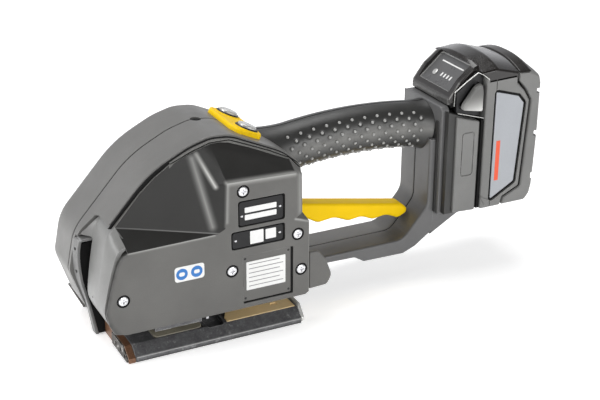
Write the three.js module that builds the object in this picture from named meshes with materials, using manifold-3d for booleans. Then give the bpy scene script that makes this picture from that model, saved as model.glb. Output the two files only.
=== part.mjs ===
// Battery strapping tool for plastic strap: a hand tool that tensions and friction-welds a strap.
// Millimetres, +Z up, +X from the nose to the battery, the operator's strap side is -Y.
// Origin: the middle of the foot's underside, on the seam plane of the two housing halves.
import * as THREE from 'three';
import { mergeVertices } from 'three/addons/utils/BufferGeometryUtils.js';
import Module from 'manifold-3d';

const wasm = await Module();
wasm.setup();

// ---------------------------------------------------------------- driving dimensions
const GAP = 0.3;                 // clearance between neighbouring pieces
const WALL = 3;                  // moulded wall thickness
const FLANK = 40;                // half width of the drum-shaped housing
const COVER_FACE = -60;          // outer face of the side cover
const COVER_BACK = -FLANK - GAP;
const RECESS = -48;              // recessed floor of the side cover
const FOOT = { x0: -69, x1: 69, near: -65, far: 30, lip: 4, top: 11, bevel: 10 };
const JAW_GAP = 4.8;             // from the anvils to the jaws while no strap is clamped
const JAW_Z = FOOT.top + 0.2 + JAW_GAP;
const GRIP = { radius: 19.5, x0: 60, x1: 211.5, top: 129.8, middle: 148, sag: 0.0013 };
const BAR = { half: 23.5, top: 31 };
const POST = { x0: 209, x1: 216, half: 23.5 };
const LEVER = { x: 30, z: 82, half: 8, slope: -0.193 };
const WHEEL = { x: 39, radius: 14, width: 12, y: -46 };
const GEAR = { module: 1.25, wheelTeeth: 24, driveTeeth: 50, width: 5, y: -27, backlash: 0.45, lift: 44 };
const FRAME = { y0: -19, y1: -11 };
const SHOE = { x0: -50, x1: -12, y0: -54, y1: -36, height: 9 };
const ECCENTRIC = { x: -32, y: -45, throw: 1.5, pin: 2.6 };
const BUTTON = { x: 43, y: 18, z: 151.6, tilt: 25, radius: 7.6 };
const RECEIVER = { x0: 216.3, x1: 246.5, half: 38, z0: 52.5 };
const PACK = { x0: 249.5, x1: 307, half: 38, z0: 52, z1: 169, shoulder: 285, fold: 276 };
const PACK_RAIL = { half: 27, slot: 6 };
const LOOSE = 0.05;              // running clearance of a pin in its bore
const PLATE_DEPTH = 0.8;         // how deep the plates lie in the side cover

// ---------------------------------------------------------------- materials
function finish(color, roughness, metalness = 0) {
  return new THREE.MeshStandardMaterial({ color, roughness, metalness });
}

const housingPlastic = () => finish(0x55544f, 0.55);
const blackPlastic = () => finish(0x16161a, 0.4);
const glossBlack = () => finish(0x101013, 0.15);
const yellowPlastic = () => finish(0xf2cf1c, 0.4);
const plateSteel = () => finish(0x4a4a4c, 0.45, 0.8);
const brightSteel = () => finish(0xc8c8ca, 0.3, 0.9);
const brass = () => finish(0xd9b45a, 0.35, 0.9);
const alloy = () => finish(0xa9abae, 0.45, 0.8);
const copper = () => finish(0x9a5a36, 0.4, 0.8);
const boardGreen = () => finish(0x1f5a3a, 0.5);
const greyPlastic = () => finish(0xa7a8a2, 0.5);
const labelWhite = () => finish(0xe6e6e2, 0.5);
const labelGrey = () => finish(0x8b9097, 0.4);

// ---------------------------------------------------------------- solids
function toSolid(geometry) {
  const bare = geometry.clone();
  bare.deleteAttribute('normal');
  bare.deleteAttribute('uv');
  const merged = mergeVertices(bare, 1e-5);
  return new wasm.Manifold(new wasm.Mesh({
    numProp: 3,
    vertProperties: new Float32Array(merged.attributes.position.array),
    triVerts: new Uint32Array(merged.index.array),
  }));
}

function toGeometry(solid) {
  const mesh = solid.getMesh();
  const geometry = new THREE.BufferGeometry();
  geometry.setAttribute('position', new THREE.BufferAttribute(mesh.vertProperties, 3));
  geometry.setIndex(new THREE.BufferAttribute(mesh.triVerts, 1));
  geometry.computeVertexNormals();
  return geometry;
}

function join(first, ...others) {
  return toGeometry(others.reduce((sum, part) => sum.add(toSolid(part)), toSolid(first)));
}

function cut(first, ...others) {
  return toGeometry(others.reduce((rest, part) => rest.subtract(toSolid(part)), toSolid(first)));
}

// A corner is [a, b] or [a, b, radius]; rounded corners become quadratic curves.
function outline(corners) {
  const shape = new THREE.Shape();
  const count = corners.length;
  corners.forEach(([a, b, radius = 0], i) => {
    const here = new THREE.Vector2(a, b);
    const before = new THREE.Vector2(...corners[(i + count - 1) % count].slice(0, 2)).sub(here);
    const after = new THREE.Vector2(...corners[(i + 1) % count].slice(0, 2)).sub(here);
    const reach = (edge) => Math.min(radius, 0.49 * edge.length());
    const back = radius ? before.clone().setLength(reach(before)).add(here) : here;
    const ahead = after.clone().setLength(reach(after)).add(here);
    if (i === 0) shape.moveTo(back.x, back.y);
    else shape.lineTo(back.x, back.y);
    if (radius) shape.quadraticCurveTo(here.x, here.y, ahead.x, ahead.y);
  });
  return shape;
}

// Every corner moves inwards by the wall thickness, measured square to both its edges.
function inset(corners, wall) {
  const count = corners.length;
  const points = corners.map(([a, b]) => new THREE.Vector2(a, b));
  const turn = Math.sign(THREE.ShapeUtils.area(points));
  return points.map((here, i) => {
    const d0 = here.clone().sub(points[(i + count - 1) % count]).normalize();
    const d1 = points[(i + 1) % count].clone().sub(here).normalize();
    const n0 = new THREE.Vector2(-d0.y, d0.x).multiplyScalar(turn);
    const n1 = new THREE.Vector2(-d1.y, d1.x).multiplyScalar(turn);
    const middle = n0.clone().add(n1).normalize();
    const step = wall / Math.max(middle.dot(n1), 0.3);
    const radius = Math.max((corners[i][2] || 0) - wall, 0);
    return [here.x + middle.x * step, here.y + middle.y * step, radius];
  });
}

// An outline in X and Z, extruded along Y from y0 to y1, with an optional chamfer on both ends.
function slab(corners, y0, y1, bevel = 0) {
  const geometry = new THREE.ExtrudeGeometry(outline(corners), {
    depth: y1 - y0 - 2 * bevel, curveSegments: 4, bevelEnabled: bevel > 0,
    bevelThickness: bevel, bevelSize: bevel, bevelOffset: -bevel, bevelSegments: 1,
  });
  return geometry.rotateX(Math.PI / 2).translate(0, y1 - bevel, 0);
}

// An outline in Y and Z, extruded along X from x0 to x1.
function rail(corners, x0, x1) {
  const geometry = new THREE.ExtrudeGeometry(outline(corners), {
    depth: x1 - x0, curveSegments: 3, bevelEnabled: false,
  });
  return geometry.rotateX(Math.PI / 2).rotateZ(Math.PI / 2).translate(x0, 0, 0);
}

// An outline in X and Y, extruded along Z from z0 to z1.
function deck(corners, z0, z1) {
  const geometry = new THREE.ExtrudeGeometry(outline(corners), {
    depth: z1 - z0, curveSegments: 4, bevelEnabled: false,
  });
  return geometry.translate(0, 0, z0);
}

function block(x0, x1, y0, y1, z0, z1) {
  const geometry = new THREE.BoxGeometry(x1 - x0, y1 - y0, z1 - z0);
  return geometry.translate((x0 + x1) / 2, (y0 + y1) / 2, (z0 + z1) / 2);
}

// A round bar along Y.
function barY(x, z, radius, y0, y1, sides = 24) {
  const geometry = new THREE.CylinderGeometry(radius, radius, y1 - y0, sides);
  return geometry.translate(x, (y0 + y1) / 2, z);
}

// A round bar along Z.
function barZ(x, y, radius, z0, z1, sides = 20) {
  const geometry = new THREE.CylinderGeometry(radius, radius, z1 - z0, sides);
  return geometry.rotateX(Math.PI / 2).translate(x, y, (z0 + z1) / 2);
}

// A round bar along X.
function barX(y, z, radius, x0, x1, sides = 16) {
  const geometry = new THREE.CylinderGeometry(radius, radius, x1 - x0, sides);
  return geometry.rotateZ(Math.PI / 2).translate((x0 + x1) / 2, y, z);
}

// The two ends of a stretch of Y between inner and outer on one side of the seam plane.
function span(side, inner, outer) {
  return side < 0 ? [-outer, -inner] : [inner, outer];
}

const tool = new THREE.Group();

function add(name, geometry, material) {
  const mesh = new THREE.Mesh(geometry, material);
  mesh.name = name;
  tool.add(mesh);
  return mesh;
}

// ---------------------------------------------------------------- housing halves
const drum = [
  [-66, 24], [-88, 22], [-99.5, 57, 7], [-93, 88.5, 11], [-46, 140.5, 17], [-14, 156.5, 6],
  [4, 161.6, 5], [21, 160.3, 7], [64, 140.5, 8], [80, 127, 6], [84, 30, 6], [78, 24],
];

function gripAxis(x) {
  return GRIP.top - GRIP.sag * (x - GRIP.middle) ** 2;
}

// The grip is a round bar bent along a flat arc, cut in two at the seam plane.
function gripBar(radius, x0, x1) {
  const steps = 8;
  const spine = [];
  for (let i = 0; i <= steps; i += 1) {
    const x = x0 + ((x1 - x0) * i) / steps;
    spine.push(new THREE.Vector3(x, 0, gripAxis(x)));
  }
  const section = new THREE.Shape();
  section.absarc(0, 0, radius, 0, 2 * Math.PI);
  return new THREE.ExtrudeGeometry(section, {
    steps, curveSegments: 8, bevelEnabled: false, extrudePath: new THREE.CatmullRomCurve3(spine),
  });
}

const barOutline = [
  [78, BAR.top], [186, BAR.top, 12], [POST.x0, 58, 14], [POST.x0, 118], [POST.x1, 118],
  [POST.x1, 32], [196, 21, 8], [186, 17, 4], [150, 17, 4], [140, 24, 3], [78, 25],
];

function wholeHousing() {
  const shell = slab(drum, -FLANK, FLANK, 3);
  const grip = gripBar(GRIP.radius, GRIP.x0, GRIP.x1);
  const loop = slab(barOutline, -BAR.half, BAR.half, 2);
  const skirt = slab([[-79, 3], [-89, 24], [-60, 34], [60, 34], [70, 3]], FLANK - 8, FLANK - 0.5);
  return join(shell, grip, loop, skirt);
}

function hollow() {
  const drumRoom = slab(inset(drum, WALL), -FLANK - 1, FLANK - WALL);
  const gripRoom = gripBar(GRIP.radius - WALL, GRIP.x0 + 12, GRIP.x1 - WALL);
  const barRoom = slab(inset(barOutline, WALL), -BAR.half + WALL, BAR.half - WALL);
  const leverSlot = block(70, 96, -LEVER.half - 2, LEVER.half + 2, 50, 98);
  const mechanismWell = block(-60, 62, -FLANK - 1, FOOT.far + 1, 18, 30);
  return [drumRoom, gripRoom, barRoom, leverSlot, mechanismWell];
}

const buttonWell = block(28, 55, -28, 28, 140, 170);
const noseWell = block(-112, -60, -FLANK - 1, -12, 10, 97);

function housingHalf(side) {
  const other = side < 0 ? block(-150, 300, -0.15, 90, -10, 200) : block(-150, 300, -90, 0.15, -10, 200);
  const extra = side < 0 ? [noseWell] : [];
  const guard = block(-110, -60, -16, -5, -5, 90);
  return cut(wholeHousing(), ...hollow(), other, buttonWell, guard, ...extra);
}

add('housing_near', housingHalf(-1), housingPlastic());
add('housing_far', housingHalf(1), housingPlastic());

// ---------------------------------------------------------------- side cover and its plates
const coverFace = [
  [-74, 22, 4], [-86.4, 26.5, 4], [-89.4, 41.5, 6], [-86.3, 55], [-81.3, 74.4], [-77, 84.5, 3],
  [-69.8, 88.5, 3], [7, 88.5, 4], [9, 129.5, 5], [70, 128, 6], [72, 93, 2], [78, 89, 2],
  [78, 23, 2], [75.4, 21.7],
];
const coverBody = [
  [-58, 22], [-58, 98], [-75, 104.5], [-66, 114], [-54, 127], [-30, 145.5, 12], [2, 157.3, 8],
  [18, 157.3, 6], [68, 134, 6], [77, 124, 4], [77, 22],
];
const coverBlock = [
  [-58, 21.7], [-58, 88.5], [7, 88.5, 4], [9, 129.5, 5], [70, 128, 6], [72, 93], [77, 89], [77, 21.7],
];

function sideCover() {
  const face = slab(coverFace, COVER_FACE, COVER_FACE + WALL + 2, 1.5);
  const step = slab(coverBlock, COVER_FACE + WALL, RECESS);
  const rim = slab(coverBody, RECESS - WALL, COVER_BACK, 1);
  const bodyRoom = slab(inset(coverBody, WALL), RECESS, COVER_BACK + 1);
  const blockRoom = slab(inset(coverBlock, WALL), COVER_FACE + WALL, RECESS + 1);
  const noseRoom = block(-100, -58, COVER_FACE + WALL, COVER_BACK + 1, 0, 97);
  const underside = block(-54, 73, COVER_FACE + WALL, COVER_BACK + 1, 15, 30);
  return cut(join(face, step, rim), bodyRoom, blockRoom, noseRoom, underside);
}

const coverScrews = [[22, 121], [68, 76.5], [71, 45.5], [12, 56.5], [-76, 51]];
const screwSeat = { radius: 4.2, depth: 1.2, head: 3.6 };

function seatAt([x, z]) {
  return barY(x, z, screwSeat.radius, COVER_FACE - 1, COVER_FACE + screwSeat.depth, 20);
}

const plates = {
  name_plate: { x0: 18.5, x1: 55, z0: 93, z1: 112.5, material: blackPlastic },
  marking_plate: { x0: 12.5, x1: 55, z0: 75, z1: 88, material: blackPlastic },
  data_plate: { x0: 22, x1: 59.5, z0: 34, z1: 64, material: labelWhite },
  safety_label: { x0: -35, x1: -11, z0: 57, z1: 69.5, material: labelWhite },
};

function plateOutline({ x0, x1, z0, z1 }, grow = 0) {
  const [left, right, low, high] = [x0 - grow, x1 + grow, z0 - grow, z1 + grow];
  return [[left, low, 2], [left, high, 2], [right, high, 2], [right, low, 2]];
}

const plateSeats = Object.values(plates).map((plate) => slab(
  plateOutline(plate, GAP), COVER_FACE - 1, COVER_FACE + PLATE_DEPTH,
));
add('side_cover', cut(sideCover(), ...plateSeats, ...coverScrews.map(seatAt)), housingPlastic());
for (const [name, plate] of Object.entries(plates)) {
  const seatBack = COVER_FACE + PLATE_DEPTH - GAP;
  add(name, slab(plateOutline(plate), COVER_FACE - 0.2, seatBack), plate.material());
}

// The head of a screw with a cross recess, facing -Y.
function screwHead(x, z) {
  const head = barY(x, z, screwSeat.head, COVER_FACE - 0.3, COVER_FACE + screwSeat.depth - GAP, 20);
  const recess = [
    block(x - 2, x + 2, COVER_FACE - 1, COVER_FACE + 0.4, z - 0.5, z + 0.5),
    block(x - 0.5, x + 0.5, COVER_FACE - 1, COVER_FACE + 0.4, z - 2, z + 2),
  ];
  return cut(head, ...recess);
}

coverScrews.forEach(([x, z], i) => {
  add(`cover_screw_${i + 1}`, screwHead(x, z), brightSteel());
});

// A soft seal fills the step between the rim of the cover and the flank of the housing.
function coverGasket() {
  const flank = slab(inset(drum, 1.2), COVER_BACK - 2.5, COVER_BACK);
  const rimRoom = slab(inset(coverBody, -GAP), COVER_BACK - 5, COVER_BACK + 5);
  const below = block(-120, 120, COVER_BACK - 5, COVER_BACK + 5, 0, 106);
  return cut(flank, rimRoom, below);
}

add('cover_gasket', coverGasket(), blackPlastic());

// ---------------------------------------------------------------- nose cover and front guard
const noseFront = [[-87.5, 26.5], [-90.3, 42], [-87.3, 55], [-82.3, 74.6], [-78, 85], [-70, 91.5]];

function noseCover() {
  const inner = noseFront.map(([x, z]) => [x + WALL, z - 1]).reverse();
  const lip = [[-61, 92], [-61, 89]];
  return slab([...noseFront, ...lip, ...inner], COVER_FACE + WALL + GAP, -16.4);
}

add('nose_cover', noseCover(), housingPlastic());

function frontGuard() {
  const web = slab([
    [-92, 84], [-96.5, 66, 4], [-91.5, 27, 6], [-89, 5], [-84, 1],
    [-74, 1], [-76, 14], [-82, 27], [-83.5, 60], [-79, 82],
  ], -15.7, -13.2);
  const flange = slab([
    [-91, 86], [-95.5, 84], [-99, 66, 4], [-94, 27, 6], [-91.5, 4],
    [-89, 5], [-91.5, 27, 6], [-96.5, 66, 4], [-92, 82],
  ], -15.7, -5.3);
  const holes = [76, 57].map((z) => barX(-9.5, z, 1.6, -104, -88));
  return cut(join(web, flange), ...holes);
}

add('front_guard', frontGuard(), plateSteel());

// ---------------------------------------------------------------- foot
const footSection = [
  [FOOT.near, 0], [FOOT.near, FOOT.lip], [FOOT.near + FOOT.bevel, FOOT.top],
  [FOOT.far, FOOT.top], [FOOT.far, 0],
];
const anvilPocket = { x0: -51, x1: -11, y0: -54, y1: -34 };
const wearPocket = { x0: 9, x1: 68, y0: -54, y1: -34 };
const POCKET_DEPTH = 3;

function pocketCut({ x0, x1, y0, y1 }) {
  return block(x0 - GAP, x1 + GAP, y0 - GAP, y1 + GAP, FOOT.top - POCKET_DEPTH - GAP, FOOT.top + 1);
}

function pad({ x0, x1, y0, y1 }, radius) {
  const corners = [[x0, y0, radius], [x1, y0, radius], [x1, y1], [x0, y1]];
  return deck(corners, FOOT.top - POCKET_DEPTH, FOOT.top + 0.2);
}

const footBar = rail(footSection, FOOT.x0, FOOT.x1);
add('base_plate', cut(footBar, pocketCut(anvilPocket), pocketCut(wearPocket)), plateSteel());
add('weld_anvil', pad(anvilPocket, 5), plateSteel());
add('feed_anvil', pad(wearPocket, 1), brass());
const endSection = [
  [FOOT.near + 1, 1], [FOOT.near + 1, FOOT.lip], [FOOT.near + FOOT.bevel, FOOT.top],
  [-18, FOOT.top], [-18, 1],
];
add('front_edge_plate', rail(endSection, FOOT.x0 - 8, FOOT.x0 - GAP), brightSteel());
add('rear_edge_plate', rail(endSection, FOOT.x1 + GAP, FOOT.x1 + 3), brightSteel());
add('rear_guard', slab([
  [78.4, 24.5], [78.4, 54], [87, 54.5, 6], [96, 42, 8], [101, 29, 4], [97, 26],
], -59.5, -56), housingPlastic());

// ---------------------------------------------------------------- frame, motors and drive
const wheelZ = JAW_Z + WHEEL.radius;
const gearDistance = (GEAR.module * (GEAR.wheelTeeth + GEAR.driveTeeth)) / 2 + 0.15;
const liftAngle = THREE.MathUtils.degToRad(GEAR.lift);
const DRIVE = {
  x: WHEEL.x - gearDistance * Math.cos(liftAngle),
  z: wheelZ + gearDistance * Math.sin(liftAngle),
};

function mainFrame() {
  const plate = slab([
    [-56, 12], [-56, 70, 8], [-30, 100, 10], [38, 100, 8], [44, 60, 8], [44, 30], [58, 24], [58, 12],
  ], FRAME.y0, FRAME.y1);
  const flange = block(-56, 58, FRAME.y0, 28, FOOT.top + GAP, 17);
  const bores = [
    barY(DRIVE.x, DRIVE.z, 7, -20, 0), barY(LEVER.x, LEVER.z, 4 + GAP, -20, 0, 20),
    slab([[-46, 26], [-46, 60], [-26, 60], [-26, 26]], -20, 0), barY(WHEEL.x, wheelZ, 11, -20, 0),
  ];
  return cut(join(plate, flange), ...bores);
}

add('main_frame', mainFrame(), alloy());
const gearboxBack = 8;
add('tension_gearbox', barY(DRIVE.x, DRIVE.z, 18, FRAME.y1 + GAP, gearboxBack, 28), alloy());
add('tension_motor', barY(DRIVE.x, DRIVE.z, 16.5, gearboxBack + GAP, 34, 28), brightSteel());
add('circuit_board', block(34, 37, -30, 30, 112, 140), boardGreen());

// Straight-flanked teeth, drawn from just inside the root circle to the tip.
function gearSolid(x, z, teeth, phase, boreRadius) {
  const pitch = (GEAR.module * teeth) / 2;
  const step = (2 * Math.PI) / teeth;
  const shrink = GEAR.backlash / 2 / pitch;
  const flank = [
    [pitch - 1.2 * GEAR.module, 0.42 * step], [pitch - 0.1, 0.27 * step],
    [pitch + 0.85 * GEAR.module, 0.12 * step],
  ];
  const corners = [];
  for (let i = 0; i < teeth; i += 1) {
    const middle = phase + i * step;
    const rising = flank.map(([radius, half]) => [radius, middle - half + shrink]);
    const falling = flank.map(([radius, half]) => [radius, middle + half - shrink]).reverse();
    for (const [radius, angle] of [...rising, ...falling]) {
      corners.push([x + radius * Math.cos(angle), z + radius * Math.sin(angle)]);
    }
  }
  const wheel = slab(corners, GEAR.y, GEAR.y + GEAR.width);
  return cut(wheel, barY(x, z, boreRadius, GEAR.y - 1, GEAR.y + GEAR.width + 1, 20));
}

function tensionWheel() {
  const ribs = 40;
  const corners = [];
  for (let i = 0; i < 2 * ribs; i += 1) {
    const radius = WHEEL.radius - (i % 2) * 0.8;
    const angle = (Math.PI * i) / ribs;
    corners.push([WHEEL.x + radius * Math.cos(angle), wheelZ + radius * Math.sin(angle)]);
  }
  const tread = slab(corners, WHEEL.y, WHEEL.y + WHEEL.width);
  return cut(tread, barY(WHEEL.x, wheelZ, 5 + GAP, WHEEL.y - 1, WHEEL.y + WHEEL.width + 1));
}

// The drive gear lies on the rocker's own axis; a tooth of it faces a space of the wheel gear.
const meshAngle = -liftAngle;
const wheelPhase = meshAngle + Math.PI + Math.PI / GEAR.wheelTeeth;
add('tension_wheel', tensionWheel(), brightSteel());
add('wheel_shaft', barY(WHEEL.x, wheelZ, 5, -52, GEAR.y + GEAR.width + 2, 20), brightSteel());
add('wheel_gear', gearSolid(WHEEL.x, wheelZ, GEAR.wheelTeeth, wheelPhase, 5 + GAP), alloy());
add('drive_gear', gearSolid(DRIVE.x, DRIVE.z, GEAR.driveTeeth, meshAngle, 4 + GAP), brightSteel());
add('drive_shaft', barY(DRIVE.x, DRIVE.z, 4, -38, FRAME.y1 - GAP, 16), brightSteel());

// The rocker swings about the drive shaft and carries the wheel shaft.
const LIFT_PIN = { x: 52, z: 60, radius: 2.6 };

function rocker() {
  const arm = slab([
    [DRIVE.x - 10, DRIVE.z, 8], [DRIVE.x, DRIVE.z + 11, 8], [54, 68, 6], [58, 58, 5],
    [52, 24, 6], [30, 22, 6], [DRIVE.x - 7, DRIVE.z - 10, 6],
  ], -33.4, -28.4);
  return cut(
    arm,
    barY(DRIVE.x, DRIVE.z, 4 + GAP, -40, -20),
    barY(WHEEL.x, wheelZ, 5 + GAP, -40, -20),
    barY(LIFT_PIN.x, LIFT_PIN.z, LIFT_PIN.radius + GAP + LOOSE, -40, -20, 16),
  );
}

function bearing(x, z, inner, outer, y0, y1) {
  return cut(barY(x, z, outer, y0, y1, 24), barY(x, z, inner, y0 - 1, y1 + 1, 24));
}

add('rocker', rocker(), alloy());
add('lift_pin', barY(LIFT_PIN.x, LIFT_PIN.z, LIFT_PIN.radius, -36, -LEVER.half - 1, 16), brightSteel());
add('rocker_bearing', bearing(DRIVE.x, DRIVE.z, 4 + GAP, 9, -37.5, -33.4 - GAP), brightSteel());
add('wheel_bearing', bearing(WHEEL.x, wheelZ, 5 + GAP, 9, -51.5, WHEEL.y - GAP), brightSteel());

// ---------------------------------------------------------------- weld unit
const shoeTop = JAW_Z + SHOE.height;
const shaftFoot = shoeTop + 16;

function weldShoe() {
  const body = block(SHOE.x0, SHOE.x1, SHOE.y0, SHOE.y1, JAW_Z, shoeTop);
  const neck = block(ECCENTRIC.x - 8, ECCENTRIC.x + 8, SHOE.y0 + 1, SHOE.y1, shoeTop - 0.1, shoeTop + 12);
  const across = ECCENTRIC.pin + ECCENTRIC.throw + GAP;
  const along = across + ECCENTRIC.throw;
  const slot = block(
    ECCENTRIC.x - across, ECCENTRIC.x + across,
    ECCENTRIC.y - along, ECCENTRIC.y + along,
    shoeTop + 2, shoeTop + 13,
  );
  return cut(join(body, neck), slot);
}

add('weld_shoe', weldShoe(), plateSteel());
const crankX = ECCENTRIC.x + ECCENTRIC.throw;
const crankPin = barZ(crankX, ECCENTRIC.y, ECCENTRIC.pin, shoeTop + 3, shaftFoot + 0.1, 16);
const journal = barZ(ECCENTRIC.x, ECCENTRIC.y, 5, shaftFoot, shaftFoot + 14);
add('eccentric_shaft', join(journal, crankPin), brightSteel());
const motorFoot = shaftFoot + 14 + GAP;
add('weld_motor', barZ(ECCENTRIC.x, ECCENTRIC.y, 11, motorFoot, motorFoot + 28, 28), brightSteel());
add('eccentric_bearing', cut(
  barZ(ECCENTRIC.x, ECCENTRIC.y, 9, shaftFoot + 5, shaftFoot + 11, 24),
  barZ(ECCENTRIC.x, ECCENTRIC.y, 5 + GAP, shaftFoot, shaftFoot + 20, 24),
), brightSteel());
add('cutter_blade', block(-8, -6, -54, -38, JAW_Z + 1, JAW_Z + 16), brightSteel());

// ---------------------------------------------------------------- lever
function lever() {
  const at = (x) => LEVER.z + 6 + LEVER.slope * (x - LEVER.x);
  const scallops = [
    [104, 12], [113, 17.5], [128, 12.5], [142, 15.5], [155, 11.5], [165, 14.5], [179, 9.5], [190, 13],
  ];
  const under = scallops.map(([x, drop], i) => [x, at(x) - drop, 4]).reverse();
  const body = slab([
    [LEVER.x - 9, LEVER.z - 4, 4], [LEVER.x - 9, LEVER.z + 7, 5], [LEVER.x + 6, at(LEVER.x + 6), 4],
    [192, at(192), 5], [201, at(201) - 6, 4], ...under, [60, at(60) - 12, 4],
  ], -LEVER.half, LEVER.half, 1.5);
  return cut(body, barY(LEVER.x, LEVER.z, 4 + LOOSE, -LEVER.half - 1, LEVER.half + 1));
}

add('lever', lever(), yellowPlastic());
add('lever_pin', barY(LEVER.x, LEVER.z, 4, FRAME.y0 + 1, 15), brightSteel());

// A helical torsion spring of round wire round the lever's pin.
function leverSpring() {
  const turns = 3;
  const steps = 36;
  const coilRadius = 6.4;
  const coil = [];
  for (let i = 0; i <= steps; i += 1) {
    const angle = (2 * Math.PI * turns * i) / steps;
    coil.push(new THREE.Vector3(
      LEVER.x + coilRadius * Math.cos(angle),
      LEVER.half + 1.8 + (4.5 * i) / steps,
      LEVER.z + coilRadius * Math.sin(angle),
    ));
  }
  const wire = new THREE.Shape();
  wire.absarc(0, 0, 0.6, 0, 2 * Math.PI);
  return new THREE.ExtrudeGeometry(wire, {
    steps, curveSegments: 6, bevelEnabled: false, extrudePath: new THREE.CatmullRomCurve3(coil),
  });
}

add('lever_spring', leverSpring(), brightSteel());

// ---------------------------------------------------------------- push buttons on the sloping panel
const panel = new THREE.Group();
panel.position.set(BUTTON.x, 0, BUTTON.z);
panel.rotation.y = THREE.MathUtils.degToRad(BUTTON.tilt);
tool.add(panel);

function addToPanel(name, geometry, material) {
  const mesh = new THREE.Mesh(geometry, material);
  mesh.name = name;
  panel.add(mesh);
}

const panelOutline = [
  [-12.5, -20, 3], [-9, -27.5, 4], [9, -27.5, 4], [12.5, -20, 3],
  [12.5, 20, 3], [9, 27.5, 4], [-9, 27.5, 4], [-12.5, 20, 3],
];
const PANEL_SIDES = 28;

function buttonPanel() {
  const plate = deck(panelOutline, -2.5, 1.5);
  const bores = [-1, 1].map((side) => barZ(0, side * BUTTON.y, BUTTON.radius + 1.2, -5, 5, PANEL_SIDES));
  return cut(plate, ...bores);
}

addToPanel('button_panel', buttonPanel(), yellowPlastic());
for (const [side, job] of [[-1, 'tension'], [1, 'weld']]) {
  const y = side * BUTTON.y;
  const ring = cut(
    barZ(0, y, BUTTON.radius + 0.9, -2.5, 2.4, PANEL_SIDES),
    barZ(0, y, BUTTON.radius - 0.4, -6, 6, PANEL_SIDES),
  );
  addToPanel(`${job}_button_ring`, ring, blackPlastic());
  const profile = [
    [0, -2.2], [BUTTON.radius - 0.8, -2.2], [BUTTON.radius - 0.8, 3.2],
    [BUTTON.radius - 2.5, 4.2], [0, 4.7],
  ];
  const turned = new THREE.LatheGeometry(profile.map(([r, z]) => new THREE.Vector2(r, z)), 24);
  const cap = turned.rotateX(Math.PI / 2).translate(0, y, 0);
  addToPanel(`${job}_button`, cap, greyPlastic());
}

// ---------------------------------------------------------------- battery receiver
function receiver() {
  const front = block(RECEIVER.x0, RECEIVER.x0 + 7, -30, 30, RECEIVER.z0 - 2, 147);
  const side = slab([
    [RECEIVER.x0 + 6, RECEIVER.z0], [RECEIVER.x0 + 6, 141], [RECEIVER.x1, 133], [RECEIVER.x1, RECEIVER.z0],
  ], -RECEIVER.half, RECEIVER.half, 1.5);
  const roomHalf = PACK_RAIL.half + 1;
  const grooves = [-1, 1].map((side) => block(
    RECEIVER.x0 + 5, RECEIVER.x0 + 8.5, ...span(side, PACK_RAIL.half, RECEIVER.half + 1), 55, 150,
  ));
  const inner = block(RECEIVER.x0 + WALL, RECEIVER.x1 - 14, -24, 24, 56, 150);
  const railRoom = block(RECEIVER.x1 - 14.5, RECEIVER.x1 + 1, -roomHalf, roomHalf, 60, 150);
  const rails = [-1, 1].map((side) => block(
    RECEIVER.x1 - 5, RECEIVER.x1, ...span(side, PACK_RAIL.half - PACK_RAIL.slot, roomHalf + 1), 62, 130,
  ));
  const sill = slab([
    [RECEIVER.x0, RECEIVER.z0], [PACK.x0 + 9, PACK.z0 - GAP], [PACK.x0 + 9, 46], [240, 45.5, 6],
    [RECEIVER.x0, 34],
  ], -BAR.half, BAR.half, 2);
  return join(cut(join(front, side), ...grooves, inner, railRoom), ...rails, sill);
}

add('battery_receiver', receiver(), housingPlastic());
add('contact_block', block(RECEIVER.x1 - 13.7, RECEIVER.x1 - 7, -16, 16, 60 + GAP, 80), blackPlastic());

// ---------------------------------------------------------------- battery pack
function packCase() {
  const body = slab([
    [PACK.x0, PACK.z0, 2], [PACK.x0, 132], [252, 136], [252, PACK.z1 - 1, 3], [PACK.shoulder, PACK.z1, 3],
    [PACK.shoulder, 160], [295, 152], [295, 140], [289, 70], [PACK.fold, 60], [PACK.fold, PACK.z0],
  ], -PACK.half, PACK.half, 1.5);
  const tongueHalf = PACK_RAIL.half - PACK_RAIL.slot - 0.5;
  const tongue = block(PACK.x0 - 11.5, PACK.x0 + 1, -tongueHalf, tongueHalf, 88, 128);
  const room = slab([
    [255, 57], [255, 130], [284, 162], [288, 150], [284, 72], [272, 64], [272, 57],
  ], -PACK.half + WALL, PACK.half - WALL);
  const mouth = block(270, 300, -30, 30, 66, 150);
  return cut(join(body, tongue), room, mouth);
}

function packTail() {
  const shell = slab([
    [PACK.fold + GAP, PACK.z0, 2], [PACK.fold + GAP, 60 - GAP], [289 + GAP, 70], [295 + GAP, 140],
    [295 + GAP, 152 + GAP], [PACK.shoulder + GAP, 160 + GAP], [PACK.shoulder + GAP, PACK.z1],
    [303, 166, 3], [PACK.x1, 159, 3], [PACK.x1, 116], [304.5, 70, 6], [303, PACK.z0 + 2, 5],
  ], -PACK.half, PACK.half, 1);
  const across = PACK.half + 1;
  const notches = [152, 114, 77].map((z) => block(303.5, PACK.x1 + 3, -across, across, z - 5, z));
  return cut(shell, ...notches);
}

// Slanted head with the charge gauge; it carries the two release buttons in its flanks.
const HEAD_HALF = 27;

function packHead() {
  const head = slab([
    [222, 147.5, 2], [221.5, 155, 3], [245.5, 175.5, 4], [256, 178, 6], [272, 177, 4],
    [284, PACK.z1 + GAP + 3], [284, PACK.z1 + GAP], [252 - GAP, PACK.z1 + GAP], [252 - GAP, 143],
    [232, 147],
  ], -PACK.half, PACK.half, 1);
  const cheek = [[226, 146], [226, 158], [240, 169], [249, 169], [249, 140]];
  const flanks = [-1, 1].map((side) => span(side, HEAD_HALF, PACK.half + 1));
  const cheeks = flanks.map(([y0, y1]) => slab(cheek, y0, y1));
  const frontCorners = flanks.map(([y0, y1]) => block(218, 229, y0, y1, 140, 158));
  return cut(head, ...cheeks, ...frontCorners);
}

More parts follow.
